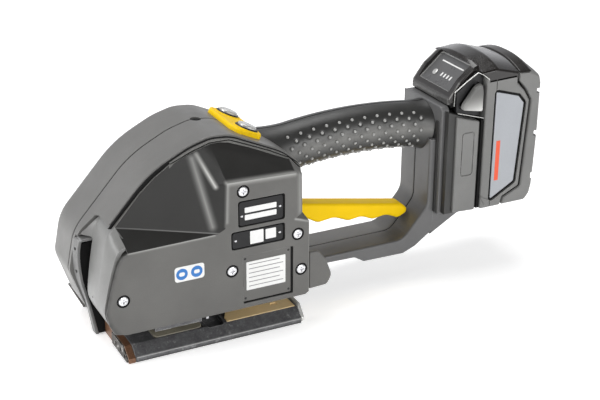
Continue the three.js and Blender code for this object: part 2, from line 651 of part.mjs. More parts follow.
const GAUGE = { rise: 0.9, button: 2.8, buttonX: -4, buttonY: 12 };

function addGauge() {
  const gauge = new THREE.Group();
  const low = new THREE.Vector2(223.5, 157.5);
  const high = new THREE.Vector2(244.2, 175);
  const tilt = Math.atan2(high.y - low.y, high.x - low.x);
  const middle = low.clone().add(high).divideScalar(2);
  gauge.position.set(middle.x - GAUGE.rise * Math.sin(tilt), 0, middle.y + GAUGE.rise * Math.cos(tilt));
  gauge.rotation.y = -tilt;
  const half = low.distanceTo(high) / 2 - 1.5;
  const face = deck([[-half, -22, 1], [half, -22, 1], [half, 22, 1], [-half, 22, 1]], 0.4, 1.2);
  const bore = barZ(GAUGE.buttonX, GAUGE.buttonY, GAUGE.button + 2 * GAP - 0.2, -3, 3, 24);
  const facePlate = new THREE.Mesh(cut(face, bore), labelGrey());
  facePlate.name = 'gauge_panel';
  const cap = barZ(GAUGE.buttonX, GAUGE.buttonY, GAUGE.button, 0.45, 2.05, 24);
  const button = new THREE.Mesh(cap, greyPlastic());
  button.name = 'gauge_button';
  gauge.add(facePlate, button);
  tool.add(gauge);
}

add('pack_case', packCase(), housingPlastic());
add('pack_tail', packTail(), housingPlastic());
add('pack_head', packHead(), glossBlack());
add('cell_block', block(256, 268, -30, 30, 66, 126), copper());
addGauge();
for (const [side, name] of [[-1, 'near'], [1, 'far']]) {
  const buttonOutline = [[228, 147, 2], [241, 165, 2], [247.5, 167, 2], [247.5, 142.5, 2]];
  const button = slab(buttonOutline, ...span(side, 31.5, PACK.half), 0.6);
  add(`release_button_${name}`, button, greyPlastic());
  const labelOutline = [[262, 156], [286, 149], [292, 141], [285, 73], [262, 66]];
  const label = slab(labelOutline, ...span(side, PACK.half + GAP, PACK.half + 0.9));
  add(`pack_label_${name}`, label, labelGrey());
}

export default tool;
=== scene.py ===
"""The looks of the battery strapping tool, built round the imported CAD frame.

Lengths are millimetres until a mesh is made, in the frame of the CAD: +X to the battery, +Z up,
-Y the strap side, the origin under the middle of the foot on the seam of the two housing halves.
"""
import math

import bmesh
import bpy
import numpy as np
from mathutils import Matrix, Vector


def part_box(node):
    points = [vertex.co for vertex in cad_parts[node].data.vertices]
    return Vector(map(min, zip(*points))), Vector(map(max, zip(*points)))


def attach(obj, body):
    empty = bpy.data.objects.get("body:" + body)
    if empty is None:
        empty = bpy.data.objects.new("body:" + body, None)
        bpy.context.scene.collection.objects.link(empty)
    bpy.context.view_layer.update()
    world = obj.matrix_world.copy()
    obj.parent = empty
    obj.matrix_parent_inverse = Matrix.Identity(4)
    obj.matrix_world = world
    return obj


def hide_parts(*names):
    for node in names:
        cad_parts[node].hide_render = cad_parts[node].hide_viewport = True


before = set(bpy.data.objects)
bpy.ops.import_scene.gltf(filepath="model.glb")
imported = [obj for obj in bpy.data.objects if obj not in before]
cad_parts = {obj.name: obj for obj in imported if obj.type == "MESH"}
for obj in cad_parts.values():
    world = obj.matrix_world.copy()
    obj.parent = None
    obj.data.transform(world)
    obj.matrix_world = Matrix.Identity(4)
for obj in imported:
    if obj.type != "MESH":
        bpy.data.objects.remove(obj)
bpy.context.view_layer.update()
MM = 0.001


def cad_box(node):
    """Lowest and highest corner of a CAD node, in millimetres."""
    low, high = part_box(node)
    return low / MM, high / MM


# ---------------------------------------------------------------- driving dimensions
FOOT_LOW, FOOT_HIGH = cad_box("base_plate")
FLANK = cad_box("housing_far")[1].y  # outer face of the far shell
FACE = cad_box("side_cover")[0].y  # outer face of the side cover
COVER_BACK = -FLANK - 0.3
RIM = -45.0  # where the cover's slopes end, along its upper edge
WALL = 3.0
SEAM = 0.6  # half the gap between the two housing halves
SEAM_LIP = 0.7  # rounding of the mouths of the halves
BAR_HALF = 23.5  # half the width of the loop bar
GRIP = {"radius": 19.5, "x0": 58.0, "x1": 213.0, "top": 129.8, "middle": 148.0, "sag": 0.0013}
LEVER_HALF = cad_box("lever")[1].y
PACK_HALF = cad_box("pack_case")[1].y
PANEL = {"x": 43.0, "z": 151.6, "tilt": math.radians(25)}
SIDES = ((-1, "near"), (1, "far"))

# ---------------------------------------------------------------- node helpers


class Nodes:
    """A short way to write a node tree."""

    def __init__(self, tree):
        self.tree = tree

    def add(self, kind, inputs=None, **settings):
        node = self.tree.nodes.new(kind)
        for key, value in settings.items():
            setattr(node, key, value)
        for key, value in (inputs or {}).items():
            if isinstance(value, bpy.types.NodeSocket):
                self.tree.links.new(value, node.inputs[key])
            else:
                node.inputs[key].default_value = value
        return node

    def maths(self, operation, a, b=0.5, clamp=False):
        return self.add("ShaderNodeMath", {0: a, 1: b}, operation=operation, use_clamp=clamp).outputs[0]

    def spread(self, value, low, high, to_low=0.0, to_high=1.0):
        """value, from low to high, mapped to to_low..to_high and clamped."""
        inputs = {"Value": value, "From Min": low, "From Max": high, "To Min": to_low, "To Max": to_high}
        return self.add("ShaderNodeMapRange", inputs, clamp=True).outputs[0]

    def noise(self, scale, detail=3.0, rough=0.5, stretch=(1, 1, 1)):
        place = self.add("ShaderNodeTexCoord").outputs["Object"]
        if stretch != (1, 1, 1):
            place = self.add("ShaderNodeMapping", {"Vector": place, "Scale": stretch}).outputs[0]
        inputs = {"Vector": place, "Scale": scale, "Detail": detail, "Roughness": rough}
        return self.add("ShaderNodeTexNoise", inputs).outputs["Fac"]

    def blend(self, share, a, b):
        """Colour a where the share is 0 and b where it is 1; 6, 7 and 2 are the mix node's colour sockets."""
        return self.add("ShaderNodeMix", {0: share, 6: a, 7: b}, data_type="RGBA").outputs[2]


def rgb(color, scale=1.0):
    return (*(min(c * scale, 1.0) for c in color), 1.0)


def edge_mask(nodes, radius):
    """Near 1 on an outward or inward edge of the piece, 0 on its flat faces."""
    soft = nodes.add("ShaderNodeBevel", {"Radius": radius * MM}, samples=4).outputs[0]
    true = nodes.add("ShaderNodeNewGeometry").outputs["Normal"]
    cosine = nodes.add("ShaderNodeVectorMath", {0: soft, 1: true}, operation="DOT_PRODUCT").outputs["Value"]
    return nodes.spread(cosine, 0.995, 0.85)


def near_line(nodes, start, end, width):
    """1 on the line between two points of the piece, fading to 0 at the width; all in millimetres."""
    start, end = Vector(start) * MM, Vector(end) * MM
    along = end - start
    place = nodes.add("ShaderNodeTexCoord").outputs["Object"]

    def vector(operation, a, b, output="Vector"):
        return nodes.add("ShaderNodeVectorMath", {0: a, 1: b}, operation=operation).outputs[output]

    from_start = vector("SUBTRACT", place, start)
    share = nodes.maths("MULTIPLY", vector("DOT_PRODUCT", from_start, along, "Value"), 1 / along.length_squared)
    share = nodes.spread(share, 0.0, 1.0)
    foot = nodes.add("ShaderNodeVectorMath", {0: along, "Scale": share}, operation="SCALE").outputs["Vector"]
    away = nodes.add("ShaderNodeVectorMath", {0: vector("SUBTRACT", from_start, foot)}, operation="LENGTH")
    near = nodes.spread(away.outputs["Value"], 0.0, width * MM, 1.0, 0.0)
    return nodes.maths("MULTIPLY", near, near)


def material(name, color, rough, metal=0.0, grain=(1500, 0.15), vary=0.12, wear=0.0, wear_color=None,
             streak=(1, 1, 1), cloud=30, coat=0.0, specular=0.5, rough_vary=0.06, spots=None, painted_light=()):
    """A procedural material: cloudy colour, fine grain in the relief, patchy gloss, worn edges, and painted
    highlights and painted shade along given lines.
    """
    made = bpy.data.materials.new(name)
    made.use_nodes = True
    tree = made.node_tree
    tree.nodes.clear()
    nodes = Nodes(tree)
    clouds = nodes.noise(cloud, 4.0, 0.55, streak)
    fine = nodes.noise(grain[0], 2.0, 0.6, streak)
    tone = nodes.blend(nodes.spread(clouds, 0.3, 0.7), rgb(color, 1 - vary), rgb(color, 1 + vary))
    tone = nodes.blend(nodes.spread(fine, 0.35, 0.65, 0.0, 0.5), tone, rgb(color, 1 - 1.6 * vary))
    if spots:
        spot_color, scale, low = spots
        share = nodes.spread(nodes.noise(scale, 5.0, 0.7), low, low + 0.12)
        tone = nodes.blend(share, tone, rgb(spot_color))
    if wear:
        rubbed = nodes.maths("MULTIPLY", edge_mask(nodes, 0.7), nodes.spread(nodes.noise(90, 4.0), 0.35, 0.6))
        tone = nodes.blend(nodes.maths("MULTIPLY", rubbed, wear), tone, rgb(wear_color or color, 1.0))
    # Painted highlights and painted shade: a lighter or darker colour blended in along lines where edges catch the
    # light or lie in shade.
    for start, end, width, strength, painted_color in painted_light:
        share = nodes.maths("MULTIPLY", near_line(nodes, start, end, width), strength)
        tone = nodes.blend(share, tone, rgb(painted_color))
    patches = nodes.noise(cloud * 2.3, 3.0, 0.5)
    gloss = nodes.spread(patches, 0.3, 0.7, rough - rough_vary, rough + rough_vary)
    bump = nodes.add("ShaderNodeBump", {"Height": fine, "Strength": grain[1], "Distance": 0.0002})
    shader = nodes.add("ShaderNodeBsdfPrincipled", {
        "Base Color": tone, "Roughness": gloss, "Metallic": metal, "Normal": bump.outputs[0],
        "Coat Weight": coat, "Coat Roughness": 0.08, "Specular IOR Level": specular,
    })
    nodes.add("ShaderNodeOutputMaterial", {"Surface": shader.outputs[0]})
    return made


SHELL = (0.11, 0.108, 0.102)
# Painted shade: the darker grey of the cover's slopes stands in for the shade they lie in.
SHADE = (0.02, 0.0195, 0.0185)
# The colour of painted highlights on the cover's edges.
PAINTED_HIGHLIGHT = (0.36, 0.36, 0.345)
# Painted highlights and painted shade along edges that catch the light or lie in shade: start, end, width, strength
# and colour.
SLOPE_PAINTED_LIGHT = [
    ((-9, -45, 151), (1.5, -56, 127), 3.4, 1.0, (0.5, 0.5, 0.48)),
    ((-13, -47, 149), (-2.5, -58, 96), 5.5, 0.75, (0.3, 0.3, 0.29)),
    ((-74, -45.5, 104.6), (2, -60, 90.4), 0.9, 0.8, (0.2, 0.2, 0.195)),
    ((9, -59, 130.3), (69, -59, 128.2), 3.2, 0.7, PAINTED_HIGHLIGHT),
    ((7.4, -59.5, 95), (9, -59.5, 130), 2.2, 0.35, PAINTED_HIGHLIGHT),
]
FRONT_EDGE = [
    (-69, 89.6), (-75.4, 88), (-79.2, 82.5), (-82.6, 72.5), (-87.2, 56), (-89.8, 43), (-87.4, 33), (-80, 22.5),
]
# On the cover's face: painted shade along its front edge by the nose, and painted highlights along its edges, steps
# and chamfer.
FACE_PAINTED_LIGHT = [
    *(((a[0], -58.4, a[1]), (b[0], -58.4, b[1]), 4.2, 1.0, (0.01, 0.01, 0.01))
      for a, b in zip(FRONT_EDGE, FRONT_EDGE[1:])),
    ((10, -60, 129.5), (68, -60, 127.6), 4.2, 0.95, PAINTED_HIGHLIGHT),
    ((-70, -60, 89), (-2, -60, 89.8), 2.0, 0.85, PAINTED_HIGHLIGHT),
    ((8.6, -60, 98), (9.8, -60, 128), 2.6, 0.5, PAINTED_HIGHLIGHT),
    ((71.5, -56.5, 94), (71.5, -56.5, 126), 6.5, 0.75, (0.3, 0.3, 0.29)),
    ((66, -60, 89.6), (78, -60, 85.6), 2.0, 0.9, PAINTED_HIGHLIGHT),
    ((78, -60, 84), (78, -60, 26), 1.2, 0.6, PAINTED_HIGHLIGHT),
]
MATERIALS = {
    "housing": material("moulded_grey", (0.145, 0.143, 0.138), 0.38, specular=0.4, vary=0.08, wear=0.5,
                        wear_color=(0.3, 0.3, 0.29)),
    # The cover's grey carries the painted highlights and painted shade of its face.
    "cover": material("cover_grey", SHELL, 0.4, wear=0.5, wear_color=(0.3, 0.3, 0.29), painted_light=FACE_PAINTED_LIGHT),
    # The cover's slopes: painted shade, with painted highlights along their ridges and edges.
    "cover_painted_shade": material("cover_shade_grey", SHADE, 0.42, specular=0.3, vary=0.08, painted_light=SLOPE_PAINTED_LIGHT),
    "plate": material("anodised_plate", (0.012, 0.012, 0.013), 0.42, vary=0.15, specular=0.3),
    "bright": material("bright_steel", (0.8, 0.8, 0.82), 0.22, metal=0.6, grain=(1200, 0.08), vary=0.05),
    "nose": material("nose_grey", (0.2, 0.2, 0.195), 0.34, wear=0.5, wear_color=(0.4, 0.4, 0.39)),
    "bar": material("bar_grey", (0.12, 0.12, 0.121), 0.38, wear=0.8, wear_color=(0.36, 0.36, 0.35)),
    "black": material("black_plastic", (0.009, 0.009, 0.01), 0.42, vary=0.2),
    "seal": material("black_rubber", (0.004, 0.004, 0.004), 0.7, grain=(900, 0.3), vary=0.2, specular=0.2),
    # Gloss black of the pack head, with painted highlights along edges of its near and far flanks.
    "gloss": material("gloss_black", (0.014, 0.012, 0.011), 0.22, coat=0.35, vary=0.2, cloud=60, rough_vary=0.05,
                      painted_light=[((222, 28.5, 153), (231, 28.5, 165.5), 2.6, 0.9, (0.5, 0.49, 0.48)),
                              ((231, 28.5, 165.5), (243, 28.5, 176), 2.6, 0.9, (0.5, 0.49, 0.48)),
                              ((222, -28.5, 153), (231, -28.5, 165.5), 1.5, 0.6, (0.4, 0.39, 0.38))]),
    "pack_top": material("pack_top_black", (0.02, 0.018, 0.017), 0.32, vary=0.25, cloud=50, wear=0.8,
                         wear_color=(0.3, 0.29, 0.28)),
    "pack": material("pack_grey", (0.175, 0.175, 0.17), 0.38, wear=0.7, wear_color=(0.42, 0.42, 0.41)),
    "yellow": material("yellow_plastic", (0.92, 0.6, 0.004), 0.5, vary=0.05, wear=0.35, specular=0.12,
                       wear_color=(0.98, 0.82, 0.12)),
    "button": material("button_grey", (0.5, 0.5, 0.49), 0.22, metal=0.35, vary=0.06),
    # The release button's grey, with a painted highlight over the lower part of the near button.
    "release": material("release_grey", (0.12, 0.12, 0.115), 0.34, vary=0.06, wear=0.5, wear_color=(0.6, 0.6, 0.6),
                        painted_light=[((237, -38, 141), (250, -38, 143), 17, 1.0, (0.62, 0.62, 0.6))]),
    "core": material("receiver_shade", (0.03, 0.03, 0.029), 0.4, vary=0.1),
    "edge_plate": material("worn_edge_plate", (0.04, 0.034, 0.028), 0.45, metal=0.3, grain=(900, 0.3), vary=0.3,
                           wear=0.9, wear_color=(0.7, 0.69, 0.66), spots=((0.6, 0.58, 0.55), 190, 0.56)),
    "label": material("printed_foil", (0.78, 0.78, 0.77), 0.35, vary=0.04, grain=(600, 0.05)),
    "ink": material("print_grey", (0.2, 0.2, 0.2), 0.5, vary=0.1),
    "blue": material("print_blue", (0.02, 0.17, 0.5), 0.4, vary=0.05),
    "red": material("print_red", (0.78, 0.09, 0.03), 0.4, vary=0.05),
    "pack_label": material("pack_foil", (0.36, 0.375, 0.4), 0.38, vary=0.04, grain=(700, 0.05)),
    "gauge": material("gauge_membrane", (0.1, 0.1, 0.102), 0.3, vary=0.08),
    "trim": material("satin_trim", (0.68, 0.68, 0.66), 0.25, metal=0.5, vary=0.05),
    # A painted highlight runs along the chin's front edge.
    "chin": material("satin_chin", (0.06, 0.059, 0.057), 0.25, vary=0.1, wear=1.0, wear_color=(0.5, 0.5, 0.49),
                     painted_light=[((223, -30, 148), (223, 30, 148), 3.0, 0.9, (0.34, 0.335, 0.325))]),
    # Blackened steel of the foot, with a painted highlight along the chamfer on its strap side and a painted shadow
    # along its bottom edge there.
    "foot": material("blackened_steel", (0.15, 0.15, 0.155), 0.42, metal=0.5, grain=(700, 0.35), vary=0.3,
                     cloud=120, wear=0.9, wear_color=(0.6, 0.6, 0.6), spots=((0.3, 0.3, 0.3), 220, 0.58),
                     painted_light=[((-69, -64.8, 4.3), (69, -64.8, 4.3), 1.1, 0.9, (0.62, 0.62, 0.61)),
                             ((-70, -65, 0.6), (70, -65, 0.6), 2.6, 0.9, (0.03, 0.03, 0.03))]),
    # Guard steel, with painted shade down the flange's strap-side part next to the nose, where it stands off over a
    # shaded recess.
    "guard": material("guard_steel", (0.2, 0.2, 0.198), 0.38, metal=0.3, grain=(800, 0.2), vary=0.12,
                      wear=0.8, wear_color=(0.5, 0.5, 0.5),
                      painted_light=[((-90, -15, 42), (-83, -15, 0), 9, 0.9, (0.06, 0.06, 0.06))]),
    "steel": material("zinc_steel", (0.62, 0.62, 0.64), 0.24, metal=1.0, grain=(1200, 0.1), vary=0.08),
    "anvil": material("anvil_steel", (0.36, 0.33, 0.25), 0.45, grain=(900, 0.25), vary=0.25,
                      wear=1.0, wear_color=(0.85, 0.83, 0.76)),
    "brass": material("ground_brass", (0.95, 0.7, 0.36), 0.4, grain=(500, 0.12), vary=0.06,
                      streak=(0.15, 1, 1), spots=((0.72, 0.5, 0.22), 120, 0.62)),
    "burnt": material("heat_tint", (0.2, 0.1, 0.055), 0.4, metal=0.4, grain=(700, 0.3), vary=0.35,
                      wear=1.0, wear_color=(0.7, 0.6, 0.5)),
    "alloy": material("cast_alloy", (0.6, 0.61, 0.63), 0.42, metal=0.9, grain=(600, 0.3), vary=0.1),
    "board": material("solder_mask", (0.02, 0.13, 0.06), 0.35, vary=0.15),
    "cells": material("cell_wrap", (0.25, 0.3, 0.4), 0.45, vary=0.1),
}

# ---------------------------------------------------------------- outlines
ARC = 6  # steps in a rounded corner
EDGE_STEPS = 4  # steps in a rounded rim


def rounded(corners, arc=ARC):
    """Points of an outline; a corner (a, b, radius) with a radius becomes arc + 1 points."""
    points = []
    count = len(corners)
    for i, corner in enumerate(corners):
        here = Vector(corner[:2])
        back = Vector(corners[i - 1][:2]) - here
        ahead = Vector(corners[(i + 1) % count][:2]) - here
        radius = corner[2] if len(corner) > 2 else 0
        if not radius:
            points.append((here.x, here.y))
            continue
        half = back.angle(ahead) / 2
        reach = min(radius / math.tan(half), 0.49 * back.length, 0.49 * ahead.length)
        radius = reach * math.tan(half)
        centre = here + (back.normalized() + ahead.normalized()).normalized() * radius / math.sin(half)
        spoke = here + back.normalized() * reach - centre
        turn = math.pi - 2 * half
        side = 1 if back.x * ahead.y - back.y * ahead.x < 0 else -1
        for k in range(arc + 1):
            angle = side * turn * k / arc
            c, s = math.cos(angle), math.sin(angle)
            points.append((centre.x + c * spoke.x - s * spoke.y, centre.y + s * spoke.x + c * spoke.y))
    return points


def area(corners):
    return sum(p[0] * q[1] - q[0] * p[1] for p, q in zip(corners, corners[1:] + corners[:1])) / 2


def inset(corners, wall):
    """Every corner moves inwards by wall, measured square to both its edges."""
    turn = 1 if area(corners) > 0 else -1
    count = len(corners)
    moved = []
    for i, corner in enumerate(corners):
        here = Vector(corner[:2])
        d0 = (here - Vector(corners[i - 1][:2])).normalized()
        d1 = (Vector(corners[(i + 1) % count][:2]) - here).normalized()
        n0 = Vector((-d0.y, d0.x)) * turn
        n1 = Vector((-d1.y, d1.x)) * turn
        middle = (n0 + n1).normalized()
        place = here + middle * wall / max(middle.dot(n1), 0.3)
        radius = corner[2] if len(corner) > 2 else 0
        if radius:
            convex = (d0.x * d1.y - d0.y * d1.x) * turn > 0
            radius = max(radius - wall, 0.002) if convex else radius + wall
        moved.append((place.x, place.y, radius))
    return moved


PLACE = {
    "x": lambda a, b, h: (h, a, b),
    "y": lambda a, b, h: (a, h, b),
    "z": lambda a, b, h: (a, b, h),
}


def skin(rings, closed=False):
    """Vertices and faces of the skin through rings of equal length, capped unless it closes on itself."""
    size, count = len(rings[0]), len(rings)
    points = [p for ring in rings for p in ring]
    faces = []
    for i in range(count if closed else count - 1):
        a, b = i * size, ((i + 1) % count) * size
        faces += [(a + j, a + (j + 1) % size, b + (j + 1) % size, b + j) for j in range(size)]
    if not closed:
        faces += [tuple(range(size)), tuple(range((count - 1) * size, count * size))]
    return points, faces


def edge_steps(near, far, low_edge, high_edge):
    """(height, inset) pairs of a wall from near to far with both its edges rounded over."""
    turns = np.linspace(0, math.pi / 2, EDGE_STEPS + 1)
    low = [(near + low_edge * (1 - math.cos(t)), low_edge * (1 - math.sin(t))) for t in turns]
    high = [(far - high_edge * (1 - math.sin(t)), high_edge * (1 - math.cos(t))) for t in turns]
    return (low if low_edge else [(near, 0)]) + (high if high_edge else [(far, 0)])


def wall_rings(corners, walls, axis="y", arc=ARC):
    """The outline at each (height, inset) pair of the walls."""
    place = PLACE[axis]
    return [[place(a, b, h) for a, b in rounded(inset(corners, d) if d else corners, arc)] for h, d in walls]


def slab(corners, near, far, edge=0.0, far_edge=None, axis="y", arc=ARC, slices=1):
    """A solid of that outline along an axis, with rounded rims."""
    walls = edge_steps(near, far, edge, edge if far_edge is None else far_edge)
    if slices > 1:
        at = len(walls) // 2
        (h0, i0), (h1, i1) = walls[at - 1], walls[at]
        between = [(h0 + (h1 - h0) * k / slices, i0) for k in range(1, slices)]
        walls = walls[:at] + between + walls[at:]
    return skin(wall_rings(corners, walls, axis, arc))


def cup(corners, face, mouth, edge, arc=ARC):
    """A hollow half shell: closed and rounded at face, open at mouth."""
    toward = 1 if mouth > face else -1
    outer = [(face + toward * h, d) for h, d in edge_steps(0, abs(mouth - face), edge, SEAM_LIP)]
    inner = [(mouth, WALL + SEAM_LIP), (face + toward * WALL, WALL)]
    return skin(wall_rings(corners, outer + inner, arc=arc))


def band(corners, near, far, edge, arc=ARC):
    """A hollow shell open at both ends."""
    walls = edge_steps(near, far, edge, SEAM_LIP) + [(far, WALL), (near, WALL)]
    return skin(wall_rings(corners, walls, arc=arc), closed=True)


def box(x0, x1, y0, y1, z0, z1, edge=0.0):
    return slab([(x0, z0), (x1, z0), (x1, z1), (x0, z1)], y0, y1, edge)


def plate_outline(x0, x1, z0, z1, radius):
    return [(x0, z0, radius), (x1, z0, radius), (x1, z1, radius), (x0, z1, radius)]


def circle(a, b, radius, sides=32):
    turns = [2 * math.pi * i / sides for i in range(sides)]
    return [(a + radius * math.cos(t), b + radius * math.sin(t)) for t in turns]


def rod(a, b, radius, near, far, edge=0.0, axis="y", sides=32):
    return slab(circle(a, b, radius, sides), near, far, edge, axis=axis)


def turned(profile, a, b, axis="y", sides=36):
    """A solid of revolution; profile is (radius, height) pairs from the axis out and back to it."""
    place = PLACE[axis]
    rings = [[place(a + r * math.cos(t), b + r * math.sin(t), h)
              for t in [2 * math.pi * i / sides for i in range(sides)]] for r, h in profile]
    return skin(rings)


def sweep(path, section):
    """A section, (across, up) pairs, carried along a path of points with the up direction near +Z."""
    points = [Vector(p) for p in path]
    rings = []
    for i, here in enumerate(points):
        along = (points[min(i + 1, len(points) - 1)] - points[max(i - 1, 0)]).normalized()
        across = along.cross(Vector((0, 0, 1)))
        across = across.normalized() if across.length > 1e-3 else Vector((0, 1, 0))
        up = across.cross(along)
        rings.append([tuple(here + across * a + up * b) for a, b in section])
    return skin(rings)


def ramp(value, start, over):
    """0 up to start, 1 from start + over on."""
    return min(max((value - start) / over, 0), 1)


def between(low, high, share):
    """The line that lies the share of the way from one line of points to another."""
    return [((1 - share) * a[0] + share * b[0], (1 - share) * a[1] + share * b[1]) for a, b in zip(low, high)]


def joined(*parts):
    """Several skins as the separate shells of one mesh."""
    points, faces = [], []
    for more_points, more_faces in parts:
        start = len(points)
        points += more_points
        faces += [tuple(i + start for i in face) for face in more_faces]
    return points, faces


# ---------------------------------------------------------------- pieces


def mesh_object(name, shape):
    points, faces = shape
    mesh = bpy.data.meshes.new(name)
    mesh.from_pydata([tuple(c * MM for c in p) for p in points], [], faces)
    work = bmesh.new()
    work.from_mesh(mesh)
    bmesh.ops.remove_doubles(work, verts=work.verts, dist=4e-6)
    bmesh.ops.dissolve_degenerate(work, edges=work.edges, dist=2e-6)
    bmesh.ops.recalc_face_normals(work, faces=work.faces)
    work.to_mesh(mesh)
    work.free()
    made = bpy.data.objects.new(name, mesh)
    bpy.context.scene.collection.objects.link(made)
    return made


def discard(thing):
    data = thing.data
    bpy.data.objects.remove(thing)
    bpy.data.meshes.remove(data)


def settle(piece):
    """Makes the piece's mesh what its modifiers show, and removes them."""
    view = bpy.context.evaluated_depsgraph_get()
    result = bpy.data.meshes.new_from_object(piece.evaluated_get(view))
    piece.modifiers.clear()
    old = piece.data
    piece.data = result
    bpy.data.meshes.remove(old)


def boolean(piece, shapes, operation="DIFFERENCE"):
    """Cuts the shapes out of the piece, or joins them to it, and keeps the result as its mesh."""
    tools = [mesh_object("tool", shape) for shape in shapes]
    for tool in tools:
        change = piece.modifiers.new("boolean", "BOOLEAN")
        change.operation = operation
        change.object = tool
        change.solver = "EXACT"
    settle(piece)
    for tool in tools:
        discard(tool)


def combined(shape, others, operation="DIFFERENCE"):
    """The points and faces that a boolean of the shape and the others leaves."""
    scratch = mesh_object("scratch", shape)
    boolean(scratch, others, operation)
    mesh = scratch.data
    result = [tuple(c / MM for c in v.co) for v in mesh.vertices], [tuple(p.vertices) for p in mesh.polygons]
    discard(scratch)
    return result


def weighted_bevel(piece, places, widths):
    """Rounds the edges between named places, each by its own width."""
    mesh = piece.data
    index = {}
    for name, place in places.items():
        index[name] = min(range(len(mesh.vertices)), key=lambda i: (mesh.vertices[i].co / MM - Vector(place)).length)
    pairs = {frozenset((index[a], index[b])): width for (a, b), width in widths.items()}
    widest = max(widths.values())
    weights = mesh.attributes.new("bevel_weight_edge", "FLOAT", "EDGE")
    weights.data.foreach_set("value", [pairs.get(frozenset(e.vertices), 0.0) / widest for e in mesh.edges])
    change = piece.modifiers.new("edges", "BEVEL")
    change.width = widest * MM
    change.segments = 4
    change.limit_method = "WEIGHT"
    settle(piece)


def dress(piece, finish, crease=38, bevel=0.0):
    """Material, smooth shading with crisp edges, and an optional small bevel on every sharp edge."""
    mesh = piece.data
    if isinstance(finish, str):
        mesh.materials.clear()
        mesh.materials.append(MATERIALS[finish])
        mesh.polygons.foreach_set("material_index", [0] * len(mesh.polygons))
    mesh.polygons.foreach_set("use_smooth", [True] * len(mesh.polygons))
    mesh.set_sharp_from_angle(angle=math.radians(crease))
    if bevel:
        change = piece.modifiers.new("edges", "BEVEL")
        change.width = bevel * MM
        change.segments = 2
        change.limit_method = "ANGLE"
        change.angle_limit = math.radians(35)
        change.miter_outer = "MITER_ARC"
    weigh = piece.modifiers.new("normals", "WEIGHTED_NORMAL")
    weigh.keep_sharp = not bevel
    weigh.weight = 80


def register(piece, body="housing", nodes=()):
    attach(piece, body)
    if nodes:
        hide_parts(*nodes)
    return piece


def build(name, shape, finish, body="housing", slot=None, nodes=(), cuts=(), adds=(), **looks):
    """One visible piece, riding on its CAD body."""
    piece = mesh_object(name, shape)
    if adds:
        boolean(piece, adds, "UNION")
    if cuts:
        boolean(piece, cuts)
    dress(piece, finish, **looks)
    return register(piece, body, nodes)


# ---------------------------------------------------------------- housing halves
DRUM = [
    (-66, 24), (-88, 22, 1), (-99.5, 57, 14), (-93, 88.5, 36), (-46, 140.5, 100), (-14, 156.5, 60),
    (4, 161.6, 30), (21, 160.3, 35), (64, 140.5, 50), (80, 127, 12), (84, 30, 8), (78, 24, 3),
]
LOOP = [
    (78, 31), (186, 31, 14), (209, 58, 16), (209, 118), (216, 118), (216, 34), (199, 22, 8), (187, 17.3, 5),
    (149, 18, 4), (140, 23.5, 6), (78, 25),
]
SILL = [(213.5, 52.4), (258, 51.6, 1), (258, 46, 1.5), (240, 45.4, 8), (222, 35, 8), (213.5, 30.2)]
SKIRT = [(-79, 1), (-89.5, 23), (-60, 34), (60, 34), (70, 1)]


def panel_point(u, v, h):
    """A point on the sloping button panel: u down the slope, v across, h out of it."""
    c, s = math.cos(PANEL["tilt"]), math.sin(PANEL["tilt"])
    return (PANEL["x"] + u * c + h * s, v, PANEL["z"] - u * s + h * c)


def on_panel(shape):
    points, faces = shape
    return [panel_point(*p) for p in points], faces


def saddle_cut():
    return on_panel(slab([(-14, -29, 4), (14, -29, 4), (14, 29, 4), (-14, 29, 4)], 0.2, 20, axis="z"))


def grip_axis(x):
    return GRIP["top"] - GRIP["sag"] * (x - GRIP["middle"]) ** 2


def grip_radius(x):
    """The grip widens into the drum at one end and into the receiver at the other."""
    front = max(0.0, (92 - x) / 30)
    rear = max(0.0, (x - 197) / 16)
    return GRIP["radius"] + 6.0 * front ** 2 + 2.2 * rear ** 2.4


DOT = {"pitch": 11.2, "row": 5.0, "radius": 2.3, "depth": 0.6, "x0": 84, "x1": 205, "top": 52, "bottom": -72}


def dot_depth(x, angle):
    """Depth of the ring round each staggered stud on the grip's flank; angle is in degrees above the horizontal."""
    row_step = math.degrees(DOT["row"] / GRIP["radius"])
    deepest = 0.0
    row = round((angle - DOT["bottom"]) / row_step)
    for r in (row - 1, row, row + 1):
        centre_angle = DOT["bottom"] + r * row_step
        if not DOT["bottom"] <= centre_angle <= DOT["top"]:
            continue
        shift = DOT["pitch"] / 2 if r % 2 else 0
        column = round((x - DOT["x0"] - shift) / DOT["pitch"])
        centre = DOT["x0"] + shift + column * DOT["pitch"]
        if not DOT["x0"] <= centre <= DOT["x1"]:
            continue
        away = math.hypot(x - centre, math.radians(angle - centre_angle) * GRIP["radius"])
        if away < DOT["radius"]:
            deepest = max(deepest, DOT["depth"] * (1 - (away / DOT["radius"]) ** 2))
    return deepest


def grip_place(x, angle, height, side):
    lean = math.atan(-2 * GRIP["sag"] * (x - GRIP["middle"]))
    radius = grip_radius(x) + height
    up = radius * math.sin(math.radians(angle))
    return Vector((x - up * math.sin(lean), side * radius * math.cos(math.radians(angle)),
                   grip_axis(x) + up * math.cos(lean)))


